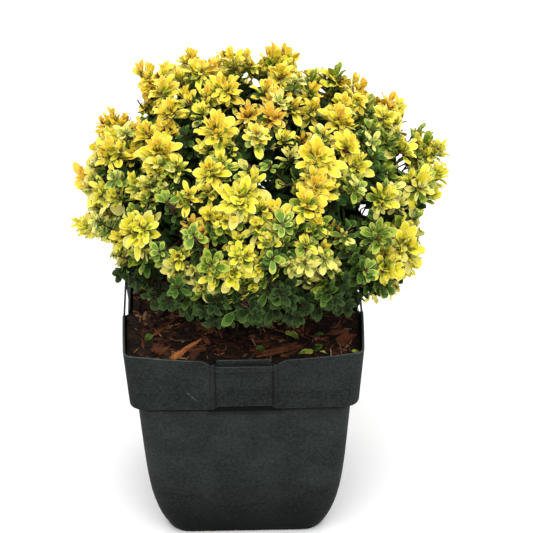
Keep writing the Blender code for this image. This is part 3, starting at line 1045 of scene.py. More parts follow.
    def scatter(self, kind: Litter, rng: random.Random) -> None:
        """Spread one kind of chip over the mix.

        Args:
            kind: The kind of chip.
            rng: The source of places and sizes.
        """
        reach = self.pot.inner_half - self.clear_of_wall
        bundle = Bundle()
        for _ in range(kind.count):
            length = blend(*kind.length, rng.random() ** 1.6)
            room = reach - length * 0.35
            at = Vector((rng.uniform(-room, room), rng.uniform(-room, room), 0.0))
            size = Vector((length, length * kind.width * rng.uniform(0.5, 1.2),
                           kind.thickness * rng.uniform(0.6, 1.3)))
            self.lay(bundle, at, rng.uniform(0.0, math.pi), size, 0.22, rng)
        show(kind.name, bundle.mesh(kind.name, 25.0), [kind.finish.material()], "potting_mix")

    def named_pieces(self, rng: random.Random) -> None:
        """The few long pieces that show best in front: an orange splinter and red-brown slabs.

        Args:
            rng: The source of their raggedness.
        """
        level = self.edge_height + 0.0015
        splinters = Bundle()
        slabs = Bundle()
        for bundle, start, end, width, thickness in (
            (splinters, (169.5, 362.0), (200.0, 341.0), 0.0040, 0.0024),
            (slabs, (257.0, 356.5), (301.0, 345.0), 0.0058, 0.0022),
            (slabs, (154.0, 355.0), (165.0, 347.0), 0.0095, 0.0020),
            (slabs, (186.0, 352.0), (207.0, 349.0), 0.0060, 0.0020),
            (slabs, (337.0, 345.0), (353.0, 334.0), 0.0080, 0.0022),
        ):
            first = self.camera.on_level(*start, level)
            last = self.camera.on_level(*end, level)
            middle = (first + last) / 2.0
            way = last - first
            turn = math.atan2(way.y, way.x)
            across = Vector((-math.sin(turn), math.cos(turn), 0.0))
            for strand in range(self.strands):
                aside = (strand + 0.5) / self.strands - 0.5
                size = Vector((way.length * rng.uniform(0.72, 1.0), width / self.strands * 1.5,
                               thickness * rng.uniform(0.7, 1.1)))
                slip = way * rng.uniform(-0.08, 0.08) + across * aside * width
                self.lay(bundle, middle + slip, turn + rng.uniform(-0.05, 0.05), size, 0.06, rng,
                         self.strand_lift)
        tan = DampMix("splinter_tan", tint(172, 98, 50), tint(226, 152, 92), 160.0, 1200.0, 0.0003)
        red = DampMix("slab_red", tint(72, 40, 25), tint(124, 72, 46), 160.0, 1100.0, 0.0004)
        show("splinter", splinters.mesh("splinter", 25.0), [tan.material()], "potting_mix")
        show("red_slabs", slabs.mesh("red_slabs", 25.0), [red.material()], "potting_mix")

    def stalks(self, rng: random.Random) -> None:
        """Thin dry stalks and roots that lie over the chips.

        Args:
            rng: The source of places and bends.
        """
        bundle = Bundle()
        reach = self.pot.inner_half - self.clear_of_wall
        for _ in range(self.stalk_count):
            at = Vector((rng.uniform(-reach, reach), rng.uniform(-reach, reach), 0.0)) * 0.92
            turn = rng.uniform(0.0, 2.0 * math.pi)
            length = rng.uniform(0.010, 0.032)
            path = []
            for step in range(7):
                turn += rng.uniform(-0.35, 0.35)
                at = at + Vector((math.cos(turn), math.sin(turn), 0.0)) * length / 6.0
                x = min(reach, max(-reach, at.x))
                y = min(reach, max(-reach, at.y))
                path.append(Vector((x, y, self.height_at(x, y) + 0.0012)))
            radius = rng.uniform(0.00025, 0.00055)
            bundle.add_rings(tube_rings(path, [radius] * len(path), 5))
        straw = DampMix("dry_stalk", tint(64, 46, 28), tint(112, 88, 54), 200.0, 1500.0, 0.0001)
        show("dry_stalks", bundle.mesh("dry_stalks"), [straw.material()], "potting_mix")

    def fallen_leaves(self, rng: random.Random) -> None:
        """The few leaves that lie on the mix.

        Args:
            rng: The source of their turns.
        """
        level = self.middle_height
        spots = (
            (293.0, 335.0, Tone.LIME, 0.0140, 2.3),
            (305.0, 352.0, Tone.LIME, 0.0125, 0.3),
            (317.0, 349.0, Tone.GREEN, 0.0120, 1.0),
            (324.0, 353.0, Tone.CREAM, 0.0060, 2.6),
            (356.0, 351.5, Tone.LIME, 0.0065, 3.0),
            (148.0, 338.0, Tone.GREEN, 0.0100, 1.0),
            (261.0, 349.0, Tone.GREEN, 0.0085, 2.6),
            (318.0, 336.0, Tone.GREEN, 0.0090, 0.2),
        )
        for tone in Tone:
            batch = LeafBatch(LeafShape())
            for x, y, kind, length, turn in spots:
                if kind is tone:
                    at = self.camera.on_level(x, y, level)
                    along = Vector((math.cos(turn), math.sin(turn), 0.12)).normalized()
                    upper = (Vector((rng.uniform(-0.3, 0.3), rng.uniform(-0.3, 0.3), 1.0))).normalized()
                    root = Vector((at.x, at.y, self.height_at(at.x, at.y) + 0.0022)) - along * length / 2.0
                    batch.add(Leaf(root, along, upper, length, 0.56, 0.12, -0.08, rng.random()))
            if batch.leaves:
                name = f"fallen_leaves_{tone.name.lower()}"
                show(name, batch.mesh(name), PAINTS[tone].materials(name), "leaf_low")

    def build(self) -> None:
        """Make the mix in place of its solid, and all that lies on it."""
        rng = random.Random(self.seed)
        finish = DampMix("potting_mix", tint(18, 13, 10), tint(54, 38, 28), 120.0, 700.0, 0.0012)
        mesh = mesh_of_rings("potting_mix", self.body_rings(), 60.0)
        show("potting_mix", mesh, [finish.material()], "potting_mix", ["soil"])
        for kind in self.kinds:
            self.scatter(kind, rng)
        self.named_pieces(rng)
        self.stalks(rng)
        self.fallen_leaves(rng)


# Crown

@dataclass
class CrownSpace:
    """The crown's outline and how it is shared out, by the same rule as the solids."""

    fork: Vector = field(default_factory=lambda: Vector((0.0, 0.0, 0.2065)))
    centre: Vector = field(default_factory=lambda: Vector((0.011, 0.0, 0.2770)))
    axes: Vector = field(default_factory=lambda: Vector((0.147, 0.145, 0.0960)))
    lowest: float = 0.1975
    view_elevation: float = math.radians(35.0)
    outline: tuple[float, ...] = (
        0.98, 0.99, 1.01, 0.95, 0.99, 1.01, 1.03, 1.08, 1.10, 0.99, 0.97, 0.96,
        0.95, 0.93, 0.89, 0.91, 0.93, 0.93, 0.92, 0.93, 0.94, 0.96, 0.99, 0.96,
    )
    rings: tuple[tuple[str, int, float, float], ...] = (
        ("low", 8, 19.0, -90.0), ("mid", 6, 49.0, -62.0), ("top", 1, 86.0, 60.0),
    )
    ring_wander: float = math.radians(3.5)
    bough_share: float = 0.42
    stem_share: float = 0.70
    search_steps: int = 30
    ray_steps: int = 160
    draw_rounds: int = 6
    seed: int = 11

    def outline_factor(self, way: Vector) -> float:
        """How far the crown reaches along a direction from its centre, against the ellipsoid.

        Args:
            way: The unit direction.

        Returns:
            The factor, near 1.
        """
        rise = way.y * math.sin(self.view_elevation) + way.z * math.cos(self.view_elevation)
        seen = way.x * way.x + rise * rise
        angle = math.atan2(rise, way.x) % (2.0 * math.pi)
        place_on = angle / (2.0 * math.pi) * len(self.outline)
        first = int(place_on) % len(self.outline)
        share = place_on - int(place_on)
        smooth = share * share * (3.0 - 2.0 * share)
        factor = blend(self.outline[first], self.outline[(first + 1) % len(self.outline)], smooth)
        return 1.0 + (factor - 1.0) * seen

    def level(self, point: Vector) -> float:
        """How far out a point is in the crown: 0 at its centre, 1 on its outline.

        Args:
            point: The point.

        Returns:
            The level.
        """
        off = point - self.centre
        if off.length < GAP:
            return 0.0
        scaled = Vector((off.x / self.axes.x, off.y / self.axes.y, off.z / self.axes.z))
        return scaled.length / self.outline_factor(off.normalized())

    def reach(self, way: Vector) -> float:
        """Distance from the fork to the outline along a unit direction.

        Args:
            way: The direction.

        Returns:
            The distance.
        """
        near, far = 0.0, 2.0 * max(self.axes)
        for _ in range(self.search_steps):
            middle = (near + far) / 2.0
            if self.level(self.fork + way * middle) < 1.0:
                near = middle
            else:
                far = middle
        return near

    def outward(self, point: Vector) -> Vector:
        """The outward direction at a point."""
        off = point - self.centre
        flat = self.axes
        return Vector((off.x / flat.x ** 2, off.y / flat.y ** 2, off.z / flat.z ** 2)).normalized()

    def on_ray(self, eye: Vector, way: Vector, wanted: float) -> Vector:
        """The first point on a line of sight at a level, or the deepest point where it stays outside.

        Args:
            eye: Where the line starts.
            way: Its unit direction.
            wanted: The level.

        Returns:
            The point.
        """
        middle = (self.centre - eye).dot(way)
        span = 1.2 * max(self.axes)
        deepest, lowest = eye, math.inf
        for step in range(self.ray_steps + 1):
            point = eye + way * (middle + span * (2.0 * step / self.ray_steps - 1.0))
            level = self.level(point)
            if level <= wanted:
                return point
            if level < lowest:
                deepest, lowest = point, level
        return deepest

    def cells(self) -> list["Cell"]:
        """One cell for each mass, in rings round the fork.

        Returns:
            The cells.
        """
        rng = random.Random(self.seed + 1)
        cells = []
        for ring, count, elevation, first in self.rings:
            for number in range(count):
                azimuth = math.radians(first) + 2.0 * math.pi * number / count
                azimuth += rng.uniform(-self.ring_wander, self.ring_wander)
                rise = math.radians(elevation) + rng.uniform(-self.ring_wander, self.ring_wander)
                flat = math.cos(rise)
                axis = Vector((flat * math.cos(azimuth), flat * math.sin(azimuth), math.sin(rise)))
                cells.append(Cell(f"{ring}_{number + 1}", self, axis))
        for cell in cells:
            cell.sides = [(cell.axis - other.axis).normalized() for other in cells if other is not cell]
        return cells

    def tips(self, count: int, sink: Callable[[int, random.Random], float], wander: float,
             lowest_rise: float, seed: int) -> Iterator[tuple[Vector, Vector]]:
        """Even places over the crown, each a little under its outline.

        Args:
            count: Places over the whole ellipsoid.
            sink: How deep each place lies, from its number.
            wander: How far a place turns off its even step, at most.
            lowest_rise: Places below this share of the height are left out.
            seed: The seed of the wander.

        Yields:
            Each place and the outward direction there.
        """
        rng = random.Random(seed)
        for k in range(count):
            rise = 1.0 - (2.0 * k + 1.0) / count
            if rise < lowest_rise:
                continue
            flat = math.sqrt(1.0 - rise * rise)
            turn = k * GOLDEN_ANGLE + rng.uniform(-wander, wander)
            way = Vector((flat * math.cos(turn), flat * math.sin(turn), rise))
            depth = sink(k, rng)
            surface = Vector((way.x * self.axes.x, way.y * self.axes.y, way.z * self.axes.z))
            surface *= self.outline_factor(surface.normalized())
            outward = Vector((way.x / self.axes.x, way.y / self.axes.y, way.z / self.axes.z))
            outward.normalize()
            yield self.centre + surface - outward * depth, outward


@dataclass
class Cell:
    """The space of one mass: a cone from the fork, bounded half-way to each neighbour."""

    name: str
    crown: CrownSpace
    axis: Vector
    sides: list[Vector] = field(default_factory=list)

    def __post_init__(self) -> None:
        """Work out how far the cell reaches and where its bough ends."""
        self.reach = self.crown.reach(self.axis)
        self.bough_end = self.reach * self.crown.bough_share
        self.stem_end = self.reach * self.crown.stem_share

    def draw_in(self, point: Vector, room: float) -> Vector:
        """Move a point in from the sides until it has the room asked for.

        Args:
            point: The point.
            room: The room to keep.

        Returns:
            The moved point.
        """
        for _ in range(self.crown.draw_rounds):
            for side in self.sides:
                short = room - (point - self.crown.fork).dot(side)
                if short > 0.0:
                    point = point + side * short
        return point


# Limbs

@dataclass
class Limbs:
    """The short stem and its boughs, with the relief of their bark."""

    crown: CrownSpace
    foot: float = 0.1890
    stem_radius: float = 0.0062
    stem_flare: float = 0.0118
    stem_head: float = 0.0100
    stem_sides: int = 40
    foot_profile: tuple[tuple[float, float], ...] = ((0.0, 1.0), (0.25, 0.5), (0.65, 0.0), (1.0, 0.0))
    lean: Vector = field(default_factory=lambda: Vector((-0.0025, 0.0015, 0.0)))
    bough_foot: float = 0.0023
    bough_tip: float = 0.0016
    bough_bow: float = 0.0030
    bough_steps: int = 26
    bough_sides: int = 16
    ridge: float = 0.09
    seed: int = 14

    def relief(self, point: Vector, centre: Vector, strength: float) -> Vector:
        """Push a point of a limb's skin out or in by the bark's ridges.

        Args:
            point: The point on the smooth limb.
            centre: The point on the limb's middle line beside it.
            strength: The height of a ridge against the limb's radius.

        Returns:
            The moved point.
        """
        off = point - centre
        there = Vector((point.x * 420.0, point.y * 420.0, point.z * 150.0))
        rough = noise.noise(there) + 0.5 * noise.noise(there * 2.3)
        return centre + off * (1.0 + strength * rough)

    def stem_rings(self) -> list[Ring]:
        """The stem from its flare to the top of its round head.

        Returns:
            The rings from the bottom up.
        """
        foot = self.foot + GAP
        height = self.crown.fork.z - self.stem_head - foot
        levels = []
        for step in range(25):
            share = step / 24
            flare = 0.0
            for (low, first), (high, last) in zip(self.foot_profile, self.foot_profile[1:]):
                if low <= share <= high:
                    flare = blend(first, last, (share - low) / (high - low))
            levels.append((foot + share * height, blend(self.stem_radius, self.stem_flare, flare)))
        for step in range(1, 19):
            angle = math.radians(blend(-38.0, 82.0, step / 18))
            levels.append((self.crown.fork.z + self.stem_head * math.sin(angle),
                           self.stem_head * math.cos(angle)))
        rings = []
        for z, radius in levels:
            centre = Vector((0.0, 0.0, z)) + self.lean * max(0.0, 1.0 - (z - foot) / height)
            ring = []
            for side in range(self.stem_sides):
                angle = 2.0 * math.pi * side / self.stem_sides
                lobes = 1.0 + 0.05 * math.sin(angle * 5.0 + z * 300.0)
                point = centre + radius * lobes * Vector((math.cos(angle), math.sin(angle), 0.0))
                ring.append(self.relief(point, centre, self.ridge))
            rings.append(ring)
        return rings

    def bough_path(self, cell: Cell, rng: random.Random) -> list[Vector]:
        """A bough's line from the stem's head to its tip, bowed a little to one side.

        Args:
            cell: The bough's cell.
            rng: The source of the bow's direction.

        Returns:
            Points along it.
        """
        start = self.stem_head - 0.0015
        across = cell.axis.orthogonal().normalized()
        sideways = Matrix.Rotation(rng.uniform(0.0, 2.0 * math.pi), 3, cell.axis) @ across
        path = []
        for step in range(self.bough_steps + 1):
            share = step / self.bough_steps
            along = blend(start, cell.bough_end, share)
            bow = self.bough_bow * math.sin(math.pi * share) ** 2
            path.append(self.crown.fork + cell.axis * along + sideways * bow)
        return path

    def build(self, cells: Sequence[Cell]) -> None:
        """Make the stem and the boughs in place of their solids.

        Args:
            cells: The crown's cells.
        """
        rng = random.Random(self.seed)
        stem_bark = Bark("stem_bark", tint(62, 42, 32), tint(122, 96, 74))
        bough_bark = Bark("bough_bark", tint(70, 34, 26), tint(132, 82, 60), 420.0, 0.0002)
        mesh = mesh_of_rings("stem", self.stem_rings(), 60.0)
        show("stem_with_bark", mesh, [stem_bark.material()], "stem_bark", ["stem"])
        bundle = Bundle()
        for cell in cells:
            path = self.bough_path(cell, rng)
            radii = [blend(self.bough_foot, self.bough_tip, k / self.bough_steps)
                     for k in range(self.bough_steps + 1)]
            rings = []
            for centre, ring in zip(path, tube_rings(path, radii, self.bough_sides)):
                rings.append([self.relief(point, centre, self.ridge) for point in ring])
            bundle.add_rings(rings)
        show("boughs_with_bark", bundle.mesh("boughs", 60.0), [bough_bark.material()], "bough_bark",
             nodes_named("bough_"))


# Leaves

@dataclass
class Leaf:
    """One leaf: where it starts, how it lies, and how its blade is shaped."""

    root: Vector
    along: Vector
    upper: Vector
    length: float
    width: float
    fold: float
    arch: float
    wave: float


@dataclass(frozen=True)
class LeafShape:
    """The outline and faces of a leaf whose blade has length 1, with or without a rim."""

    rows: tuple[float, ...] = (0.0, 0.18, 0.40, 0.62, 0.80, 0.925, 0.983)
    rimmed: bool = True
    stalk: float = 0.035
    widest: float = 0.69
    roundness: float = 0.56
    inner_scale: tuple[float, float] = (0.87, 0.94)
    inner_centre: float = 0.54
    heart_rows: int = 3

    def half_width(self, along: float) -> float:
        """Half the width at a share of the length, for a leaf as wide as it is long.

        Args:
            along: The share of the length from the stalk.

        Returns:
            The half width.
        """
        power = math.log(0.5) / math.log(self.widest)
        return 0.5 * max(self.stalk, math.sin(math.pi * min(1.0, along) ** power) ** self.roundness)

    def points(self) -> np.ndarray:
        """The leaf's points as rows of across and along: outline, inner line and midrib.

        Returns:
            The points.
        """
        last = len(self.rows) - 1
        outer = []
        for side in (-1.0, 1.0):
            for k in range(1, last):
                outer.append((side * self.half_width(self.rows[k]), self.rows[k]))
        outer.extend([(0.0, 0.0), (0.0, 1.0)])
        if not self.rimmed:
            return np.array(outer + [(0.0, row) for row in self.rows[1:-1]])
        wide, tall = self.inner_scale
        inner = [(x * wide, self.inner_centre + (y - self.inner_centre) * tall) for x, y in outer]
        midrib = [(0.0, self.inner_centre + (row - self.inner_centre) * tall) for row in self.rows[1:-1]]
        return np.array(outer + inner + midrib)

    def faces(self) -> tuple[np.ndarray, np.ndarray]:
        """The leaf's triangles and the zone of each.

        Returns:
            Rows of three point numbers, and material numbers.
        """
        inside = len(self.rows) - 2
        count = 2 * inside + 2
        base, tip = 2 * inside, 2 * inside + 1
        shift = count if self.rimmed else 0
        faces, zones = [], []
        for side in (0, 1):
            line = [base] + [side * inside + k for k in range(inside)] + [tip]
            inner = [number + shift for number in line]
            rib = [base + shift] + [count + shift + k for k in range(inside)] + [tip + shift]
            for k in range(len(line) - 1):
                blade = Zone.HEART if k < self.heart_rows - 1 else Zone.BLADE
                if k == 0:
                    blade = Zone.STALK
                heart = Zone.HEART if k < self.heart_rows else Zone.BLADE
                made = [((inner[k], inner[k + 1], rib[k + 1]), blade), ((inner[k], rib[k + 1], rib[k]), heart)]
                if self.rimmed:
                    edge = Zone.STALK if k == 0 else Zone.MARGIN
                    made.append(((line[k], line[k + 1], inner[k + 1]), edge))
                    made.append(((line[k], inner[k + 1], inner[k]), edge))
                for triangle, zone in made:
                    if len(set(triangle)) == 3:
                        faces.append(triangle[::-1] if side == 0 else triangle)
                        zones.append(zone.value)
        return np.array(faces), np.array(zones)


class LeafBatch:
    """Leaves of one shape and kind that become one mesh."""

    def __init__(self, shape: LeafShape) -> None:
        """Start empty."""
        self.shape = shape
        self.leaves: list[Leaf] = []

    def add(self, leaf: Leaf) -> None:
        """Add a leaf."""
        self.leaves.append(leaf)

    def mesh(self, name: str) -> bpy.types.Mesh:
        """Join the leaves.

        Args:
            name: The mesh's name.

        Returns:
            The mesh.
        """
        flat = self.shape.points()
        faces, zones = self.shape.faces()
        count = len(self.leaves)
        along = np.array([leaf.along.normalized() for leaf in self.leaves])
        upper = np.array([leaf.upper for leaf in self.leaves])
        across = np.cross(along, upper)
        across /= np.linalg.norm(across, axis=1, keepdims=True)
        upper = np.cross(across, along)
        value = np.array([[leaf.length, leaf.width, leaf.fold, leaf.arch, leaf.wave]
                          for leaf in self.leaves])
        length, width, fold, arch, wave = (value[:, k, None] for k in range(5))
        x = flat[None, :, 0] * width
        y = np.repeat(flat[None, :, 1], count, axis=0)
        ripple = np.sin(2.0 * np.pi * (1.4 * y + wave)) * np.abs(x) * 0.22
        z = fold * np.abs(x) + arch * y * y + ripple
        points = (np.array([leaf.root for leaf in self.leaves])[:, None, :]
                  + length[:, :, None] * (x[:, :, None] * across[:, None, :]
                                          + y[:, :, None] * along[:, None, :]
                                          + z[:, :, None] * upper[:, None, :]))
        shift = np.arange(count)[:, None, None] * len(flat)
        return mesh_from_arrays(name, points.reshape(-1, 3), (faces[None] + shift).reshape(-1, 3),
                                np.tile(zones, count))


@dataclass
class Twig:
    """A twig's middle line and its radius at each point."""

    path: list[Vector]
    foot: float
    tip: float
    sides: int = 5

    @property
    def length(self) -> float:
        """The length of its middle line."""
        return sum((b - a).length for a, b in zip(self.path, self.path[1:]))

    def rings(self) -> list[Ring]:
        """The rings of its skin."""
        last = len(self.path) - 1
        radii = [blend(self.foot, self.tip, k / last) for k in range(last + 1)]
        return tube_rings(self.path, radii, self.sides)

    def at(self, share: float) -> tuple[Vector, Vector]:
        """A point along the twig and the direction there.

        Args:
            share: The share of its points passed.

        Returns:
            The point and the unit direction.
        """
        place_on = share * (len(self.path) - 1)
        first = min(int(place_on), len(self.path) - 2)
        way = self.path[first + 1] - self.path[first]
        return self.path[first] + way * (place_on - first), way.normalized()


def bent(first: Vector, bend: Vector, last: Vector, steps: int) -> list[Vector]:
    """Points along a smooth bend from one point to another.

    Args:
        first: Where it starts.
        bend: The point that it is drawn towards.
        last: Where it ends.
        steps: Stretches between the points.

    Returns:
        The points.
    """
    points = []
    for step in range(steps + 1):
        share = step / steps
        points.append(first.lerp(bend, share).lerp(bend.lerp(last, share), share))
    return points


@dataclass(frozen=True)
class SeenTuft:
    """A tuft that the photo shows.

    x and y are the pixel where its leaves meet. reach is its longest leaf in millimetres.
    """

    x: float
    y: float
    reach: float


SEEN_TUFTS: dict[Tone, tuple[SeenTuft, ...]] = {
    Tone.AMBER: (
        SeenTuft(155, 88, 13), SeenTuft(148, 101, 11), SeenTuft(127, 124, 13), SeenTuft(122, 142, 10),
        SeenTuft(85, 176, 16), SeenTuft(83, 189, 12), SeenTuft(106, 217, 9), SeenTuft(249, 113, 13),
        SeenTuft(254, 75, 11), SeenTuft(270, 102, 12), SeenTuft(270, 116, 14), SeenTuft(296, 80, 9),
        SeenTuft(361, 89, 12), SeenTuft(389, 103, 13), SeenTuft(303, 138, 10), SeenTuft(191, 224, 10),
        SeenTuft(203, 232, 10), SeenTuft(336, 230, 9), SeenTuft(411, 212, 10), SeenTuft(209, 70, 13), SeenTuft(102, 122, 9),
    ),
    Tone.GOLD: (
        SeenTuft(151, 76, 16), SeenTuft(190, 58, 15), SeenTuft(179, 78, 12), SeenTuft(232, 61, 15),
        SeenTuft(222, 88, 18), SeenTuft(247, 60, 12), SeenTuft(171, 110, 15), SeenTuft(207, 96, 13),
        SeenTuft(190, 102, 10), SeenTuft(113, 125, 16), SeenTuft(147, 133, 14), SeenTuft(113, 151, 17),
        SeenTuft(158, 150, 18), SeenTuft(210, 170, 16), SeenTuft(275, 61, 18), SeenTuft(265, 91, 12), SeenTuft(289, 60, 15), SeenTuft(141, 72, 12),
        SeenTuft(218, 66, 10), SeenTuft(113, 115, 10), SeenTuft(163, 71, 10), SeenTuft(268, 56, 10), SeenTuft(283, 53, 11), SeenTuft(354, 85, 13),
        SeenTuft(311, 94, 13), SeenTuft(291, 103, 13), SeenTuft(312, 109, 12), SeenTuft(342, 105, 14),
        SeenTuft(339, 119, 17), SeenTuft(318, 157, 18), SeenTuft(348, 146, 15), SeenTuft(314, 180, 15),
        SeenTuft(189, 195, 12), SeenTuft(208, 191, 10), SeenTuft(210, 216, 13), SeenTuft(276, 213, 15),
        SeenTuft(307, 204, 17), SeenTuft(317, 188, 14), SeenTuft(395, 241, 13), SeenTuft(216, 128, 17),
    ),
    Tone.LEMON: (
        SeenTuft(190, 73, 10), SeenTuft(105, 165, 15), SeenTuft(157, 168, 14), SeenTuft(222, 162, 12),
        SeenTuft(177, 164, 11), SeenTuft(208, 147, 12), SeenTuft(399, 109, 14), SeenTuft(356, 164, 15),
        SeenTuft(424, 156, 15), SeenTuft(436, 175, 15), SeenTuft(285, 139, 11), SeenTuft(252, 182, 15),
        SeenTuft(104, 190, 15), SeenTuft(116, 197, 12), SeenTuft(136, 228, 19), SeenTuft(147, 195, 11),
        SeenTuft(240, 196, 18), SeenTuft(226, 220, 12), SeenTuft(238, 240, 11), SeenTuft(178, 256, 12),
        SeenTuft(240, 255, 14), SeenTuft(233, 273, 14), SeenTuft(213, 274, 12), SeenTuft(332, 186, 11),
        SeenTuft(262, 208, 14), SeenTuft(258, 226, 12), SeenTuft(268, 242, 12), SeenTuft(317, 224, 11),
        SeenTuft(384, 197, 15), SeenTuft(419, 182, 18), SeenTuft(406, 247, 20), SeenTuft(389, 267, 17),
        SeenTuft(306, 245, 11), SeenTuft(259, 267, 12), SeenTuft(256, 283, 9), SeenTuft(404, 264, 15),
        SeenTuft(385, 254, 13), SeenTuft(403, 228, 12), SeenTuft(121, 238, 13),
        SeenTuft(165, 262, 10), SeenTuft(324, 249, 11), SeenTuft(428, 195, 14), SeenTuft(336, 172, 11),
        SeenTuft(438, 150, 13), SeenTuft(417, 253, 12), SeenTuft(411, 266, 11),
        SeenTuft(88, 227, 14), SeenTuft(80, 223, 10),
    ),
    Tone.CREAM: (
        SeenTuft(125, 255, 12), SeenTuft(201, 287, 12), SeenTuft(306, 261, 12), SeenTuft(291, 264, 10),
        SeenTuft(326, 258, 12), SeenTuft(308, 279, 10), SeenTuft(319, 286, 9), SeenTuft(378, 291, 10),
        SeenTuft(155, 250, 10), SeenTuft(150, 183, 13), SeenTuft(176, 272, 15), SeenTuft(220, 288, 9),
        SeenTuft(277, 230, 12), SeenTuft(193, 269, 9), SeenTuft(290, 155, 10), SeenTuft(384, 280, 12),
        SeenTuft(395, 288, 9), SeenTuft(139, 244, 11), SeenTuft(344, 236, 10), SeenTuft(334, 268, 10),
    ),
    Tone.LIME: (
        SeenTuft(311, 80, 12), SeenTuft(334, 80, 17), SeenTuft(366, 106, 13), SeenTuft(386, 140, 14),
        SeenTuft(424, 145, 17), SeenTuft(396, 150, 13), SeenTuft(413, 177, 13), SeenTuft(270, 161, 9),
        SeenTuft(353, 182, 12), SeenTuft(92, 237, 9), SeenTuft(165, 191, 11),
        SeenTuft(182, 207, 9), SeenTuft(214, 231, 10), SeenTuft(141, 256, 12), SeenTuft(212, 264, 14),
        SeenTuft(283, 243, 10), SeenTuft(352, 193, 12), SeenTuft(378, 233, 16), SeenTuft(348, 246, 8),
        SeenTuft(313, 233, 10), SeenTuft(368, 263, 10), SeenTuft(372, 128, 11), SeenTuft(392, 172, 12),
        SeenTuft(416, 132, 12),
    ),
    Tone.GREEN: (
        SeenTuft(186, 300, 14), SeenTuft(225, 299, 15), SeenTuft(268, 292, 15), SeenTuft(236, 312, 15),
        SeenTuft(328, 292, 15), SeenTuft(352, 270, 13), SeenTuft(112, 172, 13), SeenTuft(184, 133, 12),
        SeenTuft(375, 158, 13), SeenTuft(362, 138, 13), SeenTuft(377, 172, 12), SeenTuft(352, 252, 12),
    ),
    Tone.SHADE: (
        SeenTuft(128, 281, 16), SeenTuft(146, 280, 14), SeenTuft(155, 297, 13), SeenTuft(214, 303, 13),
        SeenTuft(252, 303, 15), SeenTuft(288, 298, 16), SeenTuft(272, 309, 15), SeenTuft(303, 306, 15),
        SeenTuft(345, 284, 15), SeenTuft(342, 306, 15), SeenTuft(360, 294, 15), SeenTuft(394, 281, 14),
        SeenTuft(119, 273, 12), SeenTuft(358, 300, 10),
    ),
}


@dataclass(frozen=True)
class Opening:
    """A place where the photo sees past the leaves: the pixel of its middle, and its radius in millimetres."""

    x: float
    y: float
    radius: float


SKY_GAPS = (
    Opening(363, 210, 5.0), Opening(351, 230, 3.4), Opening(360, 241, 3.2), Opening(399, 156, 3.6),
    Opening(404, 130, 4.0), Opening(108, 247, 3.6), Opening(110, 262, 3.6), Opening(425, 240, 4.0),
    Opening(406, 286, 4.0), Opening(153, 53, 5.0),
    Opening(403, 167, 4.2), Opening(256, 83, 3.6), Opening(245, 75, 2.6), Opening(322, 92, 2.6),
    Opening(127, 98, 11.0), Opening(93, 256, 12.0), Opening(411, 119, 6.5), Opening(431, 222, 9.0),
    Opening(78, 200, 7.0), Opening(312, 58, 8.0), Opening(205, 52, 5.0), Opening(256, 60, 2.6), Opening(300, 66, 4.0), Opening(409, 139, 3.4),
    Opening(388, 84, 7.0), Opening(116, 300, 8.0), Opening(107, 252, 3.0), Opening(82, 160, 4.6),
    Opening(407, 100, 3.0), Opening(431, 210, 4.0), Opening(135, 80, 3.0),
)

HOLLOWS = (
    Opening(190, 152, 6.5), Opening(186, 106, 4.0), Opening(252, 157, 6.0), Opening(277, 162, 10.0),
    Opening(298, 123, 5.0), Opening(168, 212, 6.5), Opening(172, 237, 6.5), Opening(282, 184, 7.5),
    Opening(342, 208, 5.0), Opening(338, 250, 5.5), Opening(284, 251, 4.5), Opening(247, 229, 3.5),
    Opening(192, 255, 3.5), Opening(300, 288, 6.0), Opening(160, 285, 7.0), Opening(198, 97, 3.0),
)


@dataclass
class Tuft:
    """Leaves round one twig's tip, and how far out in the crown they may reach."""

    place: Vector
    outward: Vector
    reach: float
    tone: Tone
    limit: float


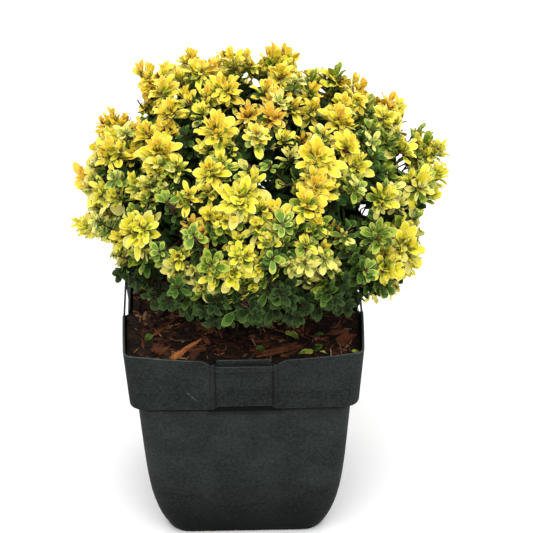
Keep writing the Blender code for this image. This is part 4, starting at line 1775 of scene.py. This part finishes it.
@dataclass
class Foliage:
    """Twigs that grow on from the boughs by the solids' rule, and the leaves on them."""

    crown: CrownSpace
    camera: "PhotoCamera"
    bough_tip: float = 0.0016
    stem_tip: float = 0.0011
    shoot_count: int = 113
    shoot_foot: float = 0.0009
    shoot_tip: float = 0.0006
    shoot_bend: float = 0.38
    shoot_spread: float = 0.85
    shoot_sink: float = 0.0130
    shoot_sink_wander: float = 0.0030
    shoot_turn_wander: float = 0.10
    shoot_side_clear: float = 0.0060
    shoot_bend_clear: float = 0.0018
    shoot_end_clear: float = 0.0030
    shoot_lowest: float = -0.84
    deep_every: int = 5
    deep_sink: float = 0.0420
    upward_lean: float = 0.45
    tuft_leans: tuple[float, float] = (0.55, 1.7)
    seen_levels: tuple[float, float] = (0.79, 0.91)
    seen_scale: float = 1.05
    spur_reach: float = 0.0135
    reach_range: tuple[float, float] = (0.009, 0.020)
    even_count: int = 250
    even_sink: tuple[float, float] = (0.004, 0.017)
    filler_sink: tuple[float, float] = (0.015, 0.026)
    seen_clear: float = 0.0095
    golden_rise: float = -0.42
    skirt_rise: float = -0.62
    dark_front: float = -0.060
    skirt_front: float = -0.068
    hidden_facing: float = -0.12
    belt_facing: float = 0.42
    belt_rise: float = 0.2
    hollow_level: float = 0.78
    gap_clear: float = 0.003
    turned_facing: float = 0.75
    camera_turn: float = 0.9
    cover_share: float = 0.85
    inner_count: int = 190
    inner_sink: tuple[float, float] = (0.030, 0.055)
    fine_foot: float = 0.0007
    fine_tip: float = 0.0005
    node_spacing: float = 0.0065
    inner_spacing: float = 0.0048
    shaded_level: float = 0.74
    seen_limit: float = 1.16
    open_limit: float = 1.05
    edge_limit: float = 0.95
    dark_limit: float = 0.86
    gap_limit: float = 0.89
    leaf_floor: float = 0.1915
    front_floor: float = -0.0975
    seed: int = 11

    def __post_init__(self) -> None:
        """Start with no twigs and no leaves."""
        self.twigs = Bundle()
        self.buds = Bundle()
        self.rng = random.Random(self.seed + 7)
        self.batches = {tone: LeafBatch(LeafShape(heart_rows=3 if tone.value < Tone.LIME.value else 4))
                        for tone in Tone}
        plain = LeafShape(rows=(0.0, 0.30, 0.62, 0.88, 1.0), rimmed=False, heart_rows=2)
        self.shade = {Tone.DEEP: LeafBatch(plain)}
        self.to_camera = self.camera.axes()[2]
        self.eye = self.camera.place()
        self.gaps = [(self.camera.ray(gap.x, gap.y), gap.radius / 1000.0, 0.0) for gap in SKY_GAPS]
        self.gaps += [(self.camera.ray(gap.x, gap.y), gap.radius / 1000.0, self.hollow_level)
                      for gap in HOLLOWS]

    def shoots(self, cells: Sequence[Cell]) -> dict[str, list[Twig]]:
        """The main shoots of each cell, as the solids have them.

        Args:
            cells: The crown's cells.

        Returns:
            The shoots by the name of their cell.
        """
        def sink(k: int, rng: random.Random) -> float:
            """How deep a shoot's tip lies."""
            deep = self.deep_sink if k % self.deep_every == self.deep_every - 1 else self.shoot_sink
            return deep + rng.uniform(-self.shoot_sink_wander, self.shoot_sink_wander)

        made: dict[str, list[Twig]] = {cell.name: [] for cell in cells}
        for tip, outward in self.crown.tips(self.shoot_count, sink, self.shoot_turn_wander,
                                            self.shoot_lowest, self.seed + 2):
            cell = nearest(cells, tip)
            tip = cell.draw_in(tip, self.shoot_side_clear)
            path = self.shoot_path(cell, tip, outward)
            made[cell.name].append(Twig(path, self.shoot_foot, self.shoot_tip))
        return made

    def shoot_path(self, cell: Cell, tip: Vector, outward: Vector) -> list[Vector]:
        """A shoot's line from its mass's stem to its tip, which ends outward and a little upward.

        Args:
            cell: The shoot's cell.
            tip: Where it ends.
            outward: The outward direction there.

        Returns:
            Points along it.
        """
        fork = self.crown.fork
        start = cell.bough_end + self.shoot_end_clear
        depth = (tip - fork).dot(cell.axis)
        aside = ((tip - fork) - cell.axis * depth).length
        along = min(max(depth - aside * self.shoot_spread, start), cell.stem_end - self.shoot_end_clear)
        foot = fork + cell.axis * along
        end_way = self.end_way(tip, outward, self.upward_lean)
        bend = cell.draw_in(tip - end_way * (tip - foot).length * self.shoot_bend, self.shoot_bend_clear)
        return bent(foot, bend, tip, 6)

    def end_way(self, tip: Vector, outward: Vector, lean: float) -> Vector:
        """The direction in which a twig ends: outward, away from the fork, and upward.

        Args:
            tip: Where it ends.
            outward: The outward direction there.
            lean: How much of the upward direction it has.

        Returns:
            The unit direction.
        """
        return (outward + (tip - self.crown.fork).normalized() + Vector((0.0, 0.0, lean))).normalized()

    def seen_tufts(self) -> list[Tuft]:
        """The tufts that the photo shows, each on its line of sight.

        Returns:
            The tufts.
        """
        tufts = []
        eye = self.camera.place()
        small, large = self.reach_range
        for tone, row in SEEN_TUFTS.items():
            for seen in row:
                reach = seen.reach / 1000.0 * self.seen_scale
                size = (reach - small) / (large - small)
                wanted = blend(*self.seen_levels, size) + self.rng.uniform(-0.03, 0.03)
                place = self.crown.on_ray(eye, self.camera.ray(seen.x, seen.y), wanted)
                outward = self.crown.outward(place)
                turn = max(0.0, self.turned_facing - outward.dot(self.to_camera))
                outward = (outward + self.to_camera * turn * self.camera_turn).normalized()
                tufts.append(Tuft(place, outward, reach, tone, self.seen_limit))
        return tufts

    def covers(self, place: Vector, seen: Sequence[Tuft]) -> bool:
        """Whether a tuft at a place would stand in front of one that the photo shows.

        Args:
            place: The place.
            seen: The tufts that the photo shows.

        Returns:
            Whether it would.
        """
        for each in seen:
            off = place - each.place
            ahead = off.dot(self.to_camera)
            if ahead > 0.0 and (off - self.to_camera * ahead).length < each.reach * self.cover_share:
                return True
        return False

    def even_tufts(self, seen: Sequence[Tuft]) -> list[Tuft]:
        """Tufts over the rest of the crown, and small ones deeper between those that are seen.

        Args:
            seen: The tufts that the photo shows.

        Returns:
            The tufts.
        """
        tufts = []
        rng = self.rng
        for tip, outward in self.crown.tips(self.even_count, lambda _, __: 0.0, self.shoot_turn_wander * 0.6,
                                            self.shoot_lowest, self.seed + 5):
            facing = outward.dot(self.to_camera)
            near = min((tip - each.place).length for each in seen)
            belt = facing < self.belt_facing and outward.z > self.belt_rise and near > self.seen_clear
            hidden = facing < self.hidden_facing or belt
            place = tip - outward * rng.uniform(*(self.even_sink if hidden else self.filler_sink))
            if not hidden and min((place - each.place).length for each in seen) < self.seen_clear:
                continue
            if not hidden and self.covers(place, seen):
                continue
            reach = blend(*self.reach_range, rng.uniform(0.45, 0.95) if hidden else rng.uniform(0.05, 0.45))
            limit = self.open_limit if facing < -0.5 else self.edge_limit
            tone = self.tone_at(tip, outward)
            if not hidden and tone is Tone.GREEN:
                limit = self.gap_limit
            tufts.append(Tuft(place, outward, reach, tone, limit))
        return tufts

    def seen_height(self, point: Vector) -> float:
        """How high a point shows in the photo's view against the crown's centre, in metres."""
        off = point - self.crown.centre
        tilt = self.crown.view_elevation
        return off.z * math.cos(tilt) + off.y * math.sin(tilt)

    def tone_at(self, tip: Vector, outward: Vector) -> Tone:
        """How sunlit a tuft is: dark below, green between the tufts in front, golden elsewhere.

        Args:
            tip: The tuft's place.
            outward: The outward direction there.

        Returns:
            The tone.
        """
        rng = self.rng
        off = tip - self.crown.centre
        across = off.x / self.crown.axes.x
        if outward.dot(self.to_camera) > self.hidden_facing:
            height = self.seen_height(tip)
            if height < self.dark_front:
                return Tone.SHADE if height < self.skirt_front else Tone.GREEN
            shade = Tone.LIME.value - 0.25 + 0.25 * across - 33.0 * height + rng.uniform(-1.9, 0.7)
            return Tone(min(Tone.GREEN.value, max(Tone.GOLD.value, round(shade))))
        rise = off.z / self.crown.axes.z
        if rise < self.golden_rise:
            return Tone.SHADE if rise < self.skirt_rise else Tone.GREEN
        shade = 1.6 - 0.9 * rise + 0.6 * across + rng.uniform(-1.1, 1.1)
        return Tone(min(Tone.LIME.value, max(0, round(shade))))

    def in_opening(self, leaf: Leaf) -> bool:
        """Whether a leaf would cover a place where the photo shows sky, or fill one of its hollows.

        Args:
            leaf: The leaf.

        Returns:
            Whether it would.
        """
        for share in (0.35, 0.7, 1.0):
            point = leaf.root + (leaf.along + leaf.upper * leaf.arch * share) * leaf.length * share
            off = point - self.eye
            for way, radius, level in self.gaps:
                if (off - way * off.dot(way)).length < radius and self.crown.level(point) >= level:
                    if level == 0.0 or self.crown.outward(point).dot(self.to_camera) > 0.0:
                        return True
        return False

    def add_leaf(self, leaf: Leaf, tone: Tone, limit: float, shaded: bool = False) -> bool:
        """Keep a leaf if it stays in the crown, made shorter where that is enough.

        Args:
            leaf: The leaf.
            tone: Its kind.
            limit: How far out its end may lie.
            shaded: Whether it lies deep, where fewer faces do.

        Returns:
            Whether it was kept.
        """
        for _ in range(3):
            end = leaf.root + (leaf.along + leaf.upper * leaf.arch) * leaf.length
            off = end - self.crown.centre
            seen_height = off.z * math.cos(self.crown.view_elevation) \
                + off.y * math.sin(self.crown.view_elevation)
            if (self.crown.level(end) <= limit and end.z > self.leaf_floor and not self.in_opening(leaf)
                    and (off.y > 0.0 or seen_height > self.front_floor)):
                batch = self.shade[tone] if shaded and tone in self.shade else self.batches[tone]
                batch.add(leaf)
                return True
            leaf.length *= 0.84
        return False

    def rosette(self, tuft: Tuft, axis: Vector, share_of_leaves: float = 1.0) -> None:
        """A cup of leaves by the golden angle: short and upright in the middle, long and open outside.

        Args:
            tuft: The tuft.
            axis: The direction in which its twig ends.
            share_of_leaves: How full it is.
        """
        rng = self.rng
        first = axis.orthogonal().normalized()
        second = axis.cross(first)
        small, large = self.reach_range
        size = (tuft.reach - small) / (large - small)
        count = round(blend(15.0, 25.0, size) * share_of_leaves) + rng.randint(-1, 1)
        start = rng.uniform(0.0, 2.0 * math.pi)
        kept = 0
        for k in range(count):
            share = k / (count - 1)
            turn = start + k * GOLDEN_ANGLE + rng.uniform(-0.5, 0.5)
            lean = math.radians(blend(6.0, 92.0, share ** 0.85) + rng.uniform(-20.0, 20.0))
            side = math.cos(turn) * first + math.sin(turn) * second
            along = axis * math.cos(lean) + side * math.sin(lean)
            upper = axis * math.sin(lean) - side * math.cos(lean)
            upper = Matrix.Rotation(rng.gauss(0.0, 0.28), 3, along) @ upper
            length = tuft.reach * blend(0.80, 1.04, share ** 0.6) * rng.uniform(0.66, 1.10)
            number = tuft.tone.value
            if share < 0.3 and rng.random() < 0.22:
                number -= 1
            elif share > 0.75 and rng.random() < 0.45:
                number += 1
            leaf = Leaf(tuft.place - axis * 0.0005 * k, along, upper, length,
                        blend(0.32, 0.44, share) + rng.uniform(-0.05, 0.07), rng.uniform(0.1, 0.6),
                        blend(0.14, -0.24, share) + rng.gauss(0.0, 0.1), rng.random())
            kept += self.add_leaf(leaf, Tone(min(Tone.GREEN.value, max(0, number))), tuft.limit)
        if kept > count / 2:
            bud = [tuft.place + axis * rise for rise in (-0.002, 0.0005, 0.0025)]
            self.buds.add_rings(tube_rings(bud, [0.0007, 0.0011, 0.0004], 6))

    def side_rosettes(self, tuft: Tuft, axis: Vector) -> None:
        """Smaller rosettes on short spurs beside a large tuft's own.

        Args:
            tuft: The large tuft.
            axis: The direction in which its twig ends.
        """
        rng = self.rng
        turn = rng.uniform(0.0, 2.0 * math.pi)
        for _ in range(3 if tuft.reach > 0.018 else 2):
            turn += rng.uniform(1.5, 2.6)
            side = Matrix.Rotation(turn, 3, axis) @ axis.orthogonal().normalized()
            foot = tuft.place - axis * rng.uniform(0.004, 0.008)
            way = (axis * 0.75 + side).normalized()
            place = foot + way * tuft.reach * rng.uniform(0.34, 0.52)
            self.twigs.add_rings(Twig([foot, foot.lerp(place, 0.5), place], self.fine_tip, self.fine_tip).rings())
            tone = Tone(min(Tone.LIME.value, tuft.tone.value + rng.choice((0, 0, 1))))
            spur = Tuft(place, tuft.outward, tuft.reach * rng.uniform(0.55, 0.7), tone, tuft.limit)
            self.rosette(spur, (axis + side * 0.7).normalized(), 0.75)

    def whorl(self, tuft: Tuft, axis: Vector) -> None:
        """Broad old leaves that spread and droop round a shaded twig's tip.

        Args:
            tuft: The tuft.
            axis: The direction in which its twig ends.
        """
        rng = self.rng
        first = axis.orthogonal().normalized()
        second = axis.cross(first)
        count = rng.randint(9, 13)
        start = rng.uniform(0.0, 2.0 * math.pi)
        for k in range(count):
            turn = start + k * GOLDEN_ANGLE + rng.uniform(-0.7, 0.7)
            lean = math.radians(rng.uniform(18.0, 110.0))
            side = math.cos(turn) * first + math.sin(turn) * second
            along = axis * math.cos(lean) + side * math.sin(lean)
            upper = axis * math.sin(lean) - side * math.cos(lean)
            upper = Matrix.Rotation(rng.gauss(0.0, 0.3), 3, along) @ upper
            leaf = Leaf(tuft.place - axis * 0.0019 * k, along, upper, tuft.reach * rng.uniform(0.54, 0.98),
                        rng.uniform(0.42, 0.60), rng.uniform(0.05, 0.4), rng.uniform(-0.4, 0.05),
                        rng.random())
            self.add_leaf(leaf, tuft.tone, tuft.limit)

    def fascicle(self, at: Vector, way: Vector, length: float, tone: Tone, shaded: bool) -> None:
        """A few leaves all round one node of a twig.

        Args:
            at: The node.
            way: The twig's direction there.
            length: The length of a leaf.
            tone: The leaves' kind.
            shaded: Whether they lie deep.
        """
        rng = self.rng
        first = way.orthogonal().normalized()
        second = way.cross(first)
        start = rng.uniform(0.0, 2.0 * math.pi)
        count = 5 if shaded else rng.randint(5, 6)
        for k in range(count):
            turn = start + 2.0 * math.pi * k / count + rng.uniform(-0.8, 0.8)
            lean = math.radians(rng.uniform(24.0, 98.0))
            side = math.cos(turn) * first + math.sin(turn) * second
            along = way * math.cos(lean) + side * math.sin(lean)
            upper = way * math.sin(lean) - side * math.cos(lean)
            leaf = Leaf(at.copy(), along, upper, length * rng.uniform(0.6, 1.15), rng.uniform(0.40, 0.60),
                        rng.uniform(0.05, 0.35), rng.uniform(-0.25, 0.05), rng.random())
            self.add_leaf(leaf, tone, self.dark_limit if shaded else self.edge_limit + 0.03, shaded)

    def dress_twig(self, twig: Twig, from_share: float, to_share: float, tone: Tone) -> None:
        """Fascicles along a fine twig, greener the deeper they lie.

        Args:
            twig: The twig.
            from_share: Where they start.
            to_share: Where they end.
            tone: The tone of the tuft at its tip.
        """
        steps = max(1, round(twig.length * (to_share - from_share) / self.node_spacing))
        for step in range(steps):
            share = blend(from_share, to_share, (step + self.rng.random() * 0.6) / steps)
            at, way = twig.at(min(1.0, share))
            level = self.crown.level(at) + self.rng.uniform(-0.05, 0.05)
            number = Tone.DEEP.value
            if level > 0.83:
                number = min(Tone.SHADE.value, max(Tone.GOLD.value, tone.value + self.rng.choice((0, 0, 1))))
            elif level > 0.76:
                number = min(Tone.SHADE.value, max(Tone.LIME.value, tone.value + 1))
            elif level > 0.70:
                number = max(Tone.GREEN.value, min(Tone.SHADE.value, tone.value + 1))
            self.fascicle(at, way, 0.0115, Tone(number), number == Tone.DEEP.value)

    def dress_inside(self, twig: Twig, from_share: float, to_share: float) -> None:
        """Dark leaves along a main shoot or a mass's stem.

        Args:
            twig: The shoot or stem.
            from_share: Where they start.
            to_share: Where they end.
        """
        steps = max(1, round(twig.length * (to_share - from_share) / self.inner_spacing))
        for step in range(steps):
            share = blend(from_share, to_share, (step + self.rng.random()) / steps)
            at, way = twig.at(min(1.0, share))
            level = self.crown.level(at)
            if level > self.shaded_level:
                tone = self.tone_at(at, self.crown.outward(at))
                number = max(Tone.CREAM.value, tone.value) + (0 if level > 0.84 else 1)
                self.fascicle(at, way, 0.0110, Tone(min(Tone.SHADE.value, number)), False)
            else:
                self.fascicle(at, way, 0.0160, Tone.DEEP, True)

    def build(self, cells: Sequence[Cell]) -> None:
        """Make the twigs and leaves in place of the masses' solids.

        Args:
            cells: The crown's cells.
        """
        shoots = self.shoots(cells)
        for cell in cells:
            foot = self.crown.fork + cell.axis * cell.bough_end * 0.55
            start = self.crown.fork + cell.axis * (cell.bough_end - 0.001)
            end = self.crown.fork + cell.axis * cell.stem_end
            stem = Twig([start.lerp(end, step / 6) for step in range(7)], self.bough_tip, self.stem_tip, 7)
            self.twigs.add_rings(stem.rings())
            self.dress_inside(Twig([foot, end], self.bough_tip, self.stem_tip), 0.0, 1.0)
            for shoot in shoots[cell.name]:
                self.twigs.add_rings(shoot.rings())
                self.dress_inside(shoot, 0.12, 1.0)
        seen = self.seen_tufts()
        for tuft in seen + self.even_tufts(seen):
            self.grow(tuft, cells, shoots)
        for row in shoots.values():
            for shoot in row:
                self.end_shoot(shoot, seen)
        self.fill_inside(cells, shoots)
        finish = Bark("twig_bark", tint(46, 24, 18), tint(98, 56, 38), 900.0, 0.0001)
        show("twigs", self.twigs.mesh("twigs", 60.0), [finish.material()], "bough_bark",
             nodes_named("foliage_"))
        bud = Bark("bud_scales", tint(84, 38, 24), tint(140, 80, 40), 1500.0, 0.0001)
        show("buds", self.buds.mesh("buds", 60.0), [bud.material()], "bough_bark")
        self.show_leaves()

    def grow(self, tuft: Tuft, cells: Sequence[Cell], shoots: dict[str, list[Twig]]) -> None:
        """Grow a fine twig from the nearest shoot to a tuft, with its leaves.

        Args:
            tuft: The tuft.
            cells: The crown's cells.
            shoots: The main shoots by the name of their cell.
        """
        off = tuft.place - self.eye
        if any(level == 0.0 and (off - way * off.dot(way)).length < radius + self.gap_clear
               for way, radius, level in self.gaps):
            return
        cell = nearest(cells, tuft.place)
        shoot = min(shoots[cell.name], key=lambda each: (each.path[-1] - tuft.place).length)
        foot, _ = shoot.at(self.rng.uniform(0.55, 0.85))
        dark = tuft.tone.value >= Tone.GREEN.value
        rise = min(1.0, max(0.0, (self.seen_height(tuft.place) + 0.06) / 0.10))
        axis = self.end_way(tuft.place, tuft.outward, 0.0 if dark else blend(*self.tuft_leans, rise))
        gap = (tuft.place - foot).length
        path = bent(foot, tuft.place - axis * gap * 0.45, tuft.place, 5)
        twig = Twig(path, self.fine_foot, self.fine_tip)
        self.twigs.add_rings(twig.rings())
        self.dress_twig(twig, 0.15, 0.86, tuft.tone)
        wobble = Vector([self.rng.uniform(-0.18, 0.18) for _ in range(3)])
        if dark:
            self.whorl(tuft, (axis + wobble).normalized())
        else:
            axis = (axis + wobble).normalized()
            self.rosette(tuft, axis)
            if tuft.reach > self.spur_reach:
                self.side_rosettes(tuft, axis)

    def fill_inside(self, cells: Sequence[Cell], shoots: dict[str, list[Twig]]) -> None:
        """Short twigs deep in the crown with dark leaves, so that only the sky gaps are open.

        Args:
            cells: The crown's cells.
            shoots: The main shoots by the name of their cell.
        """
        for tip, outward in self.crown.tips(self.inner_count, lambda _, rng: rng.uniform(*self.inner_sink),
                                            self.shoot_turn_wander, self.shoot_lowest, self.seed + 9):
            cell = nearest(cells, tip)
            shoot = min(shoots[cell.name], key=lambda each: (each.at(0.6)[0] - tip).length)
            foot, _ = shoot.at(self.rng.uniform(0.3, 0.6))
            axis = self.end_way(tip, outward, self.upward_lean)
            path = bent(foot, tip - axis * (tip - foot).length * 0.4, tip, 4)
            twig = Twig(path, self.fine_foot, self.fine_tip)
            self.twigs.add_rings(twig.rings())
            self.dress_inside(twig, 0.2, 1.0)

    def end_shoot(self, shoot: Twig, seen: Sequence[Tuft]) -> None:
        """Give a main shoot a small tuft of its own, unless a tuft that is seen stands there.

        Args:
            shoot: The shoot.
            seen: The tufts that the photo shows.
        """
        place, way = shoot.at(1.0)
        level = self.crown.level(place)
        near = min((place - each.place).length for each in seen)
        if level < self.shaded_level or near < self.seen_clear or self.covers(place, seen):
            return
        outward = self.crown.outward(place)
        tone = self.tone_at(place, outward)
        reach = blend(*self.reach_range, self.rng.uniform(0.1, 0.45))
        tuft = Tuft(place, outward, reach, tone, self.gap_limit if tone is Tone.GREEN else self.edge_limit)
        if tone.value >= Tone.GREEN.value:
            self.whorl(tuft, way)
        else:
            self.rosette(tuft, (way + Vector((0.0, 0.0, 0.5))).normalized())

    def show_leaves(self) -> None:
        """Show the leaves, one piece for each kind."""
        slots = {Tone.AMBER: "leaf_top", Tone.GOLD: "leaf_top", Tone.LEMON: "leaf_mid", Tone.CREAM: "leaf_mid",
                 Tone.LIME: "leaf_mid", Tone.GREEN: "leaf_low", Tone.SHADE: "leaf_low",
                 Tone.DEEP: "leaf_low"}
        for tone, batch in self.batches.items():
            if batch.leaves:
                name = f"leaves_{tone.name.lower()}"
                show(name, batch.mesh(name), PAINTS[tone].materials(name), slots[tone])
        for tone, batch in self.shade.items():
            if batch.leaves:
                name = f"shaded_leaves_{tone.name.lower()}"
                show(name, batch.mesh(name), PAINTS[tone].materials(name), slots[tone])


def nearest(cells: Sequence[Cell], tip: Vector) -> Cell:
    """The cell whose axis points nearest to a place.

    Args:
        cells: The crown's cells.
        tip: The place.

    Returns:
        The cell.
    """
    way = (tip - cells[0].crown.fork).normalized()
    return max(cells, key=lambda each: each.axis.dot(way))


# Studio

@dataclass(frozen=True)
class PhotoCamera:
    """The camera of the photo: above the front, turned and tilted a little."""

    frame: float = 533.0
    target: tuple[float, float, float] = (0.01864, 0.0, 0.21285)
    distance: float = 2.0
    focal: float = 2612.2
    elevation: float = math.radians(35.0)
    roll: float = math.radians(-0.52)
    turn: float = math.radians(-0.763)
    sensor: float = 36.0

    def axes(self) -> tuple[Vector, Vector, Vector]:
        """The camera's right, up and back directions.

        Returns:
            The three unit directions.
        """
        turned = Matrix.Rotation(self.turn, 3, "Z")
        back = Vector((0.0, -math.cos(self.elevation), math.sin(self.elevation)))
        right = Vector((1.0, 0.0, 0.0))
        up = Vector((0.0, math.sin(self.elevation), math.cos(self.elevation)))
        tilted_right = right * math.cos(self.roll) + up * math.sin(self.roll)
        tilted_up = up * math.cos(self.roll) - right * math.sin(self.roll)
        return turned @ tilted_right, turned @ tilted_up, turned @ back

    def place(self) -> Vector:
        """Where the camera stands."""
        turned = Matrix.Rotation(self.turn, 3, "Z")
        return turned @ Vector(self.target) + self.axes()[2] * self.distance

    def ray(self, x: float, y: float) -> Vector:
        """The line of sight through a place in the photo.

        Args:
            x: Pixels from the photo's left edge.
            y: Pixels from its top edge.

        Returns:
            Its unit direction.
        """
        right, up, back = self.axes()
        half = self.frame / 2.0
        return (right * (x - half) - up * (y - half) - back * self.focal).normalized()

    def on_level(self, x: float, y: float, level: float) -> Vector:
        """The point at a height that shows at a place in the photo.

        Args:
            x: Pixels from the photo's left edge.
            y: Pixels from its top edge.
            level: The height, in metres.

        Returns:
            The point.
        """
        eye = self.place()
        ray = self.ray(x, y)
        return eye + ray * ((level - eye.z) / ray.z)

    def build(self) -> None:
        """Put the camera in the scene."""
        right, up, back = self.axes()
        data = bpy.data.cameras.new("photo_camera")
        data.sensor_width = self.sensor
        data.lens = self.focal / self.frame * self.sensor
        data.clip_end = 50.0
        camera = bpy.data.objects.new("photo_camera", data)
        bpy.context.scene.collection.objects.link(camera)
        turned = Matrix((right, up, back)).transposed().to_4x4()
        camera.matrix_world = Matrix.Translation(self.place()) @ turned
        bpy.context.scene.camera = camera


@dataclass(frozen=True)
class Lamp:
    """A square soft light."""

    name: str
    place: tuple[float, float, float]
    power: float
    size: float
    aim: tuple[float, float, float] = (0.0, 0.0, 0.2)

    def build(self) -> None:
        """Put the light in the scene, turned to its aim."""
        data = bpy.data.lights.new(self.name, "AREA")
        data.energy = self.power
        data.size = self.size
        lamp = bpy.data.objects.new(self.name, data)
        bpy.context.scene.collection.objects.link(lamp)
        lamp.location = self.place
        lamp.rotation_euler = (Vector(self.aim) - Vector(self.place)).to_track_quat("-Z", "Y").to_euler()


@dataclass(frozen=True)
class Studio:
    """A plain pale floor, a white surround and soft lights."""

    floor_half: float = 6.0
    floor_colour: Colour = (0.96, 0.96, 0.96)
    surround: float = 1.08
    lamps: tuple[Lamp, ...] = (
        Lamp("key_light", (-0.12, -1.0, 2.8), 50.0, 2.1),
        Lamp("fill_light", (1.2, -1.4, 2.0), 5.0, 2.0),
        Lamp("back_light", (0.4, 1.8, 2.2), 10.0, 1.6),
    )

    def build(self) -> None:
        """Make the floor, the surround and the lights."""
        graph = Graph("studio_floor")
        patches = graph.grain(1.5, 2.0)
        tone = graph.mix(patches, self.floor_colour, tuple(value * 0.985 for value in self.floor_colour))
        material = graph.surface(Base_Color=tone, Roughness=0.85, Specular_IOR_Level=0.1)
        half = self.floor_half
        mesh = bpy.data.meshes.new("studio_floor")
        corners = [(-half, -half, 0.0), (half, -half, 0.0), (half, half, 0.0), (-half, half, 0.0)]
        mesh.from_pydata(corners, [], [(0, 1, 2, 3)])
        mesh.materials.append(material)
        floor = bpy.data.objects.new("studio_floor", mesh)
        bpy.context.scene.collection.objects.link(floor)
        world = bpy.data.worlds.new("studio_surround")
        world.use_nodes = True
        light = world.node_tree.nodes["Background"]
        light.inputs["Color"].default_value = (1.0, 1.0, 1.0, 1.0)
        light.inputs["Strength"].default_value = self.surround
        bpy.context.scene.world = world
        bpy.context.scene.view_settings.view_transform = "Standard"
        for lamp in self.lamps:
            lamp.build()


def main() -> None:
    """Build the studio, the pot with its mix, the limbs and the foliage."""
    logging.basicConfig(level=logging.INFO, format="%(name)s %(message)s")
    camera = PhotoCamera()
    camera.build()
    Studio().build()
    pot = NurseryPot()
    pot.build()
    PottingMix(pot, camera).build()
    crown = CrownSpace()
    cells = crown.cells()
    Limbs(crown).build(cells)
    Foliage(crown, camera).build(cells)


if __name__ == "__main__":
    main()
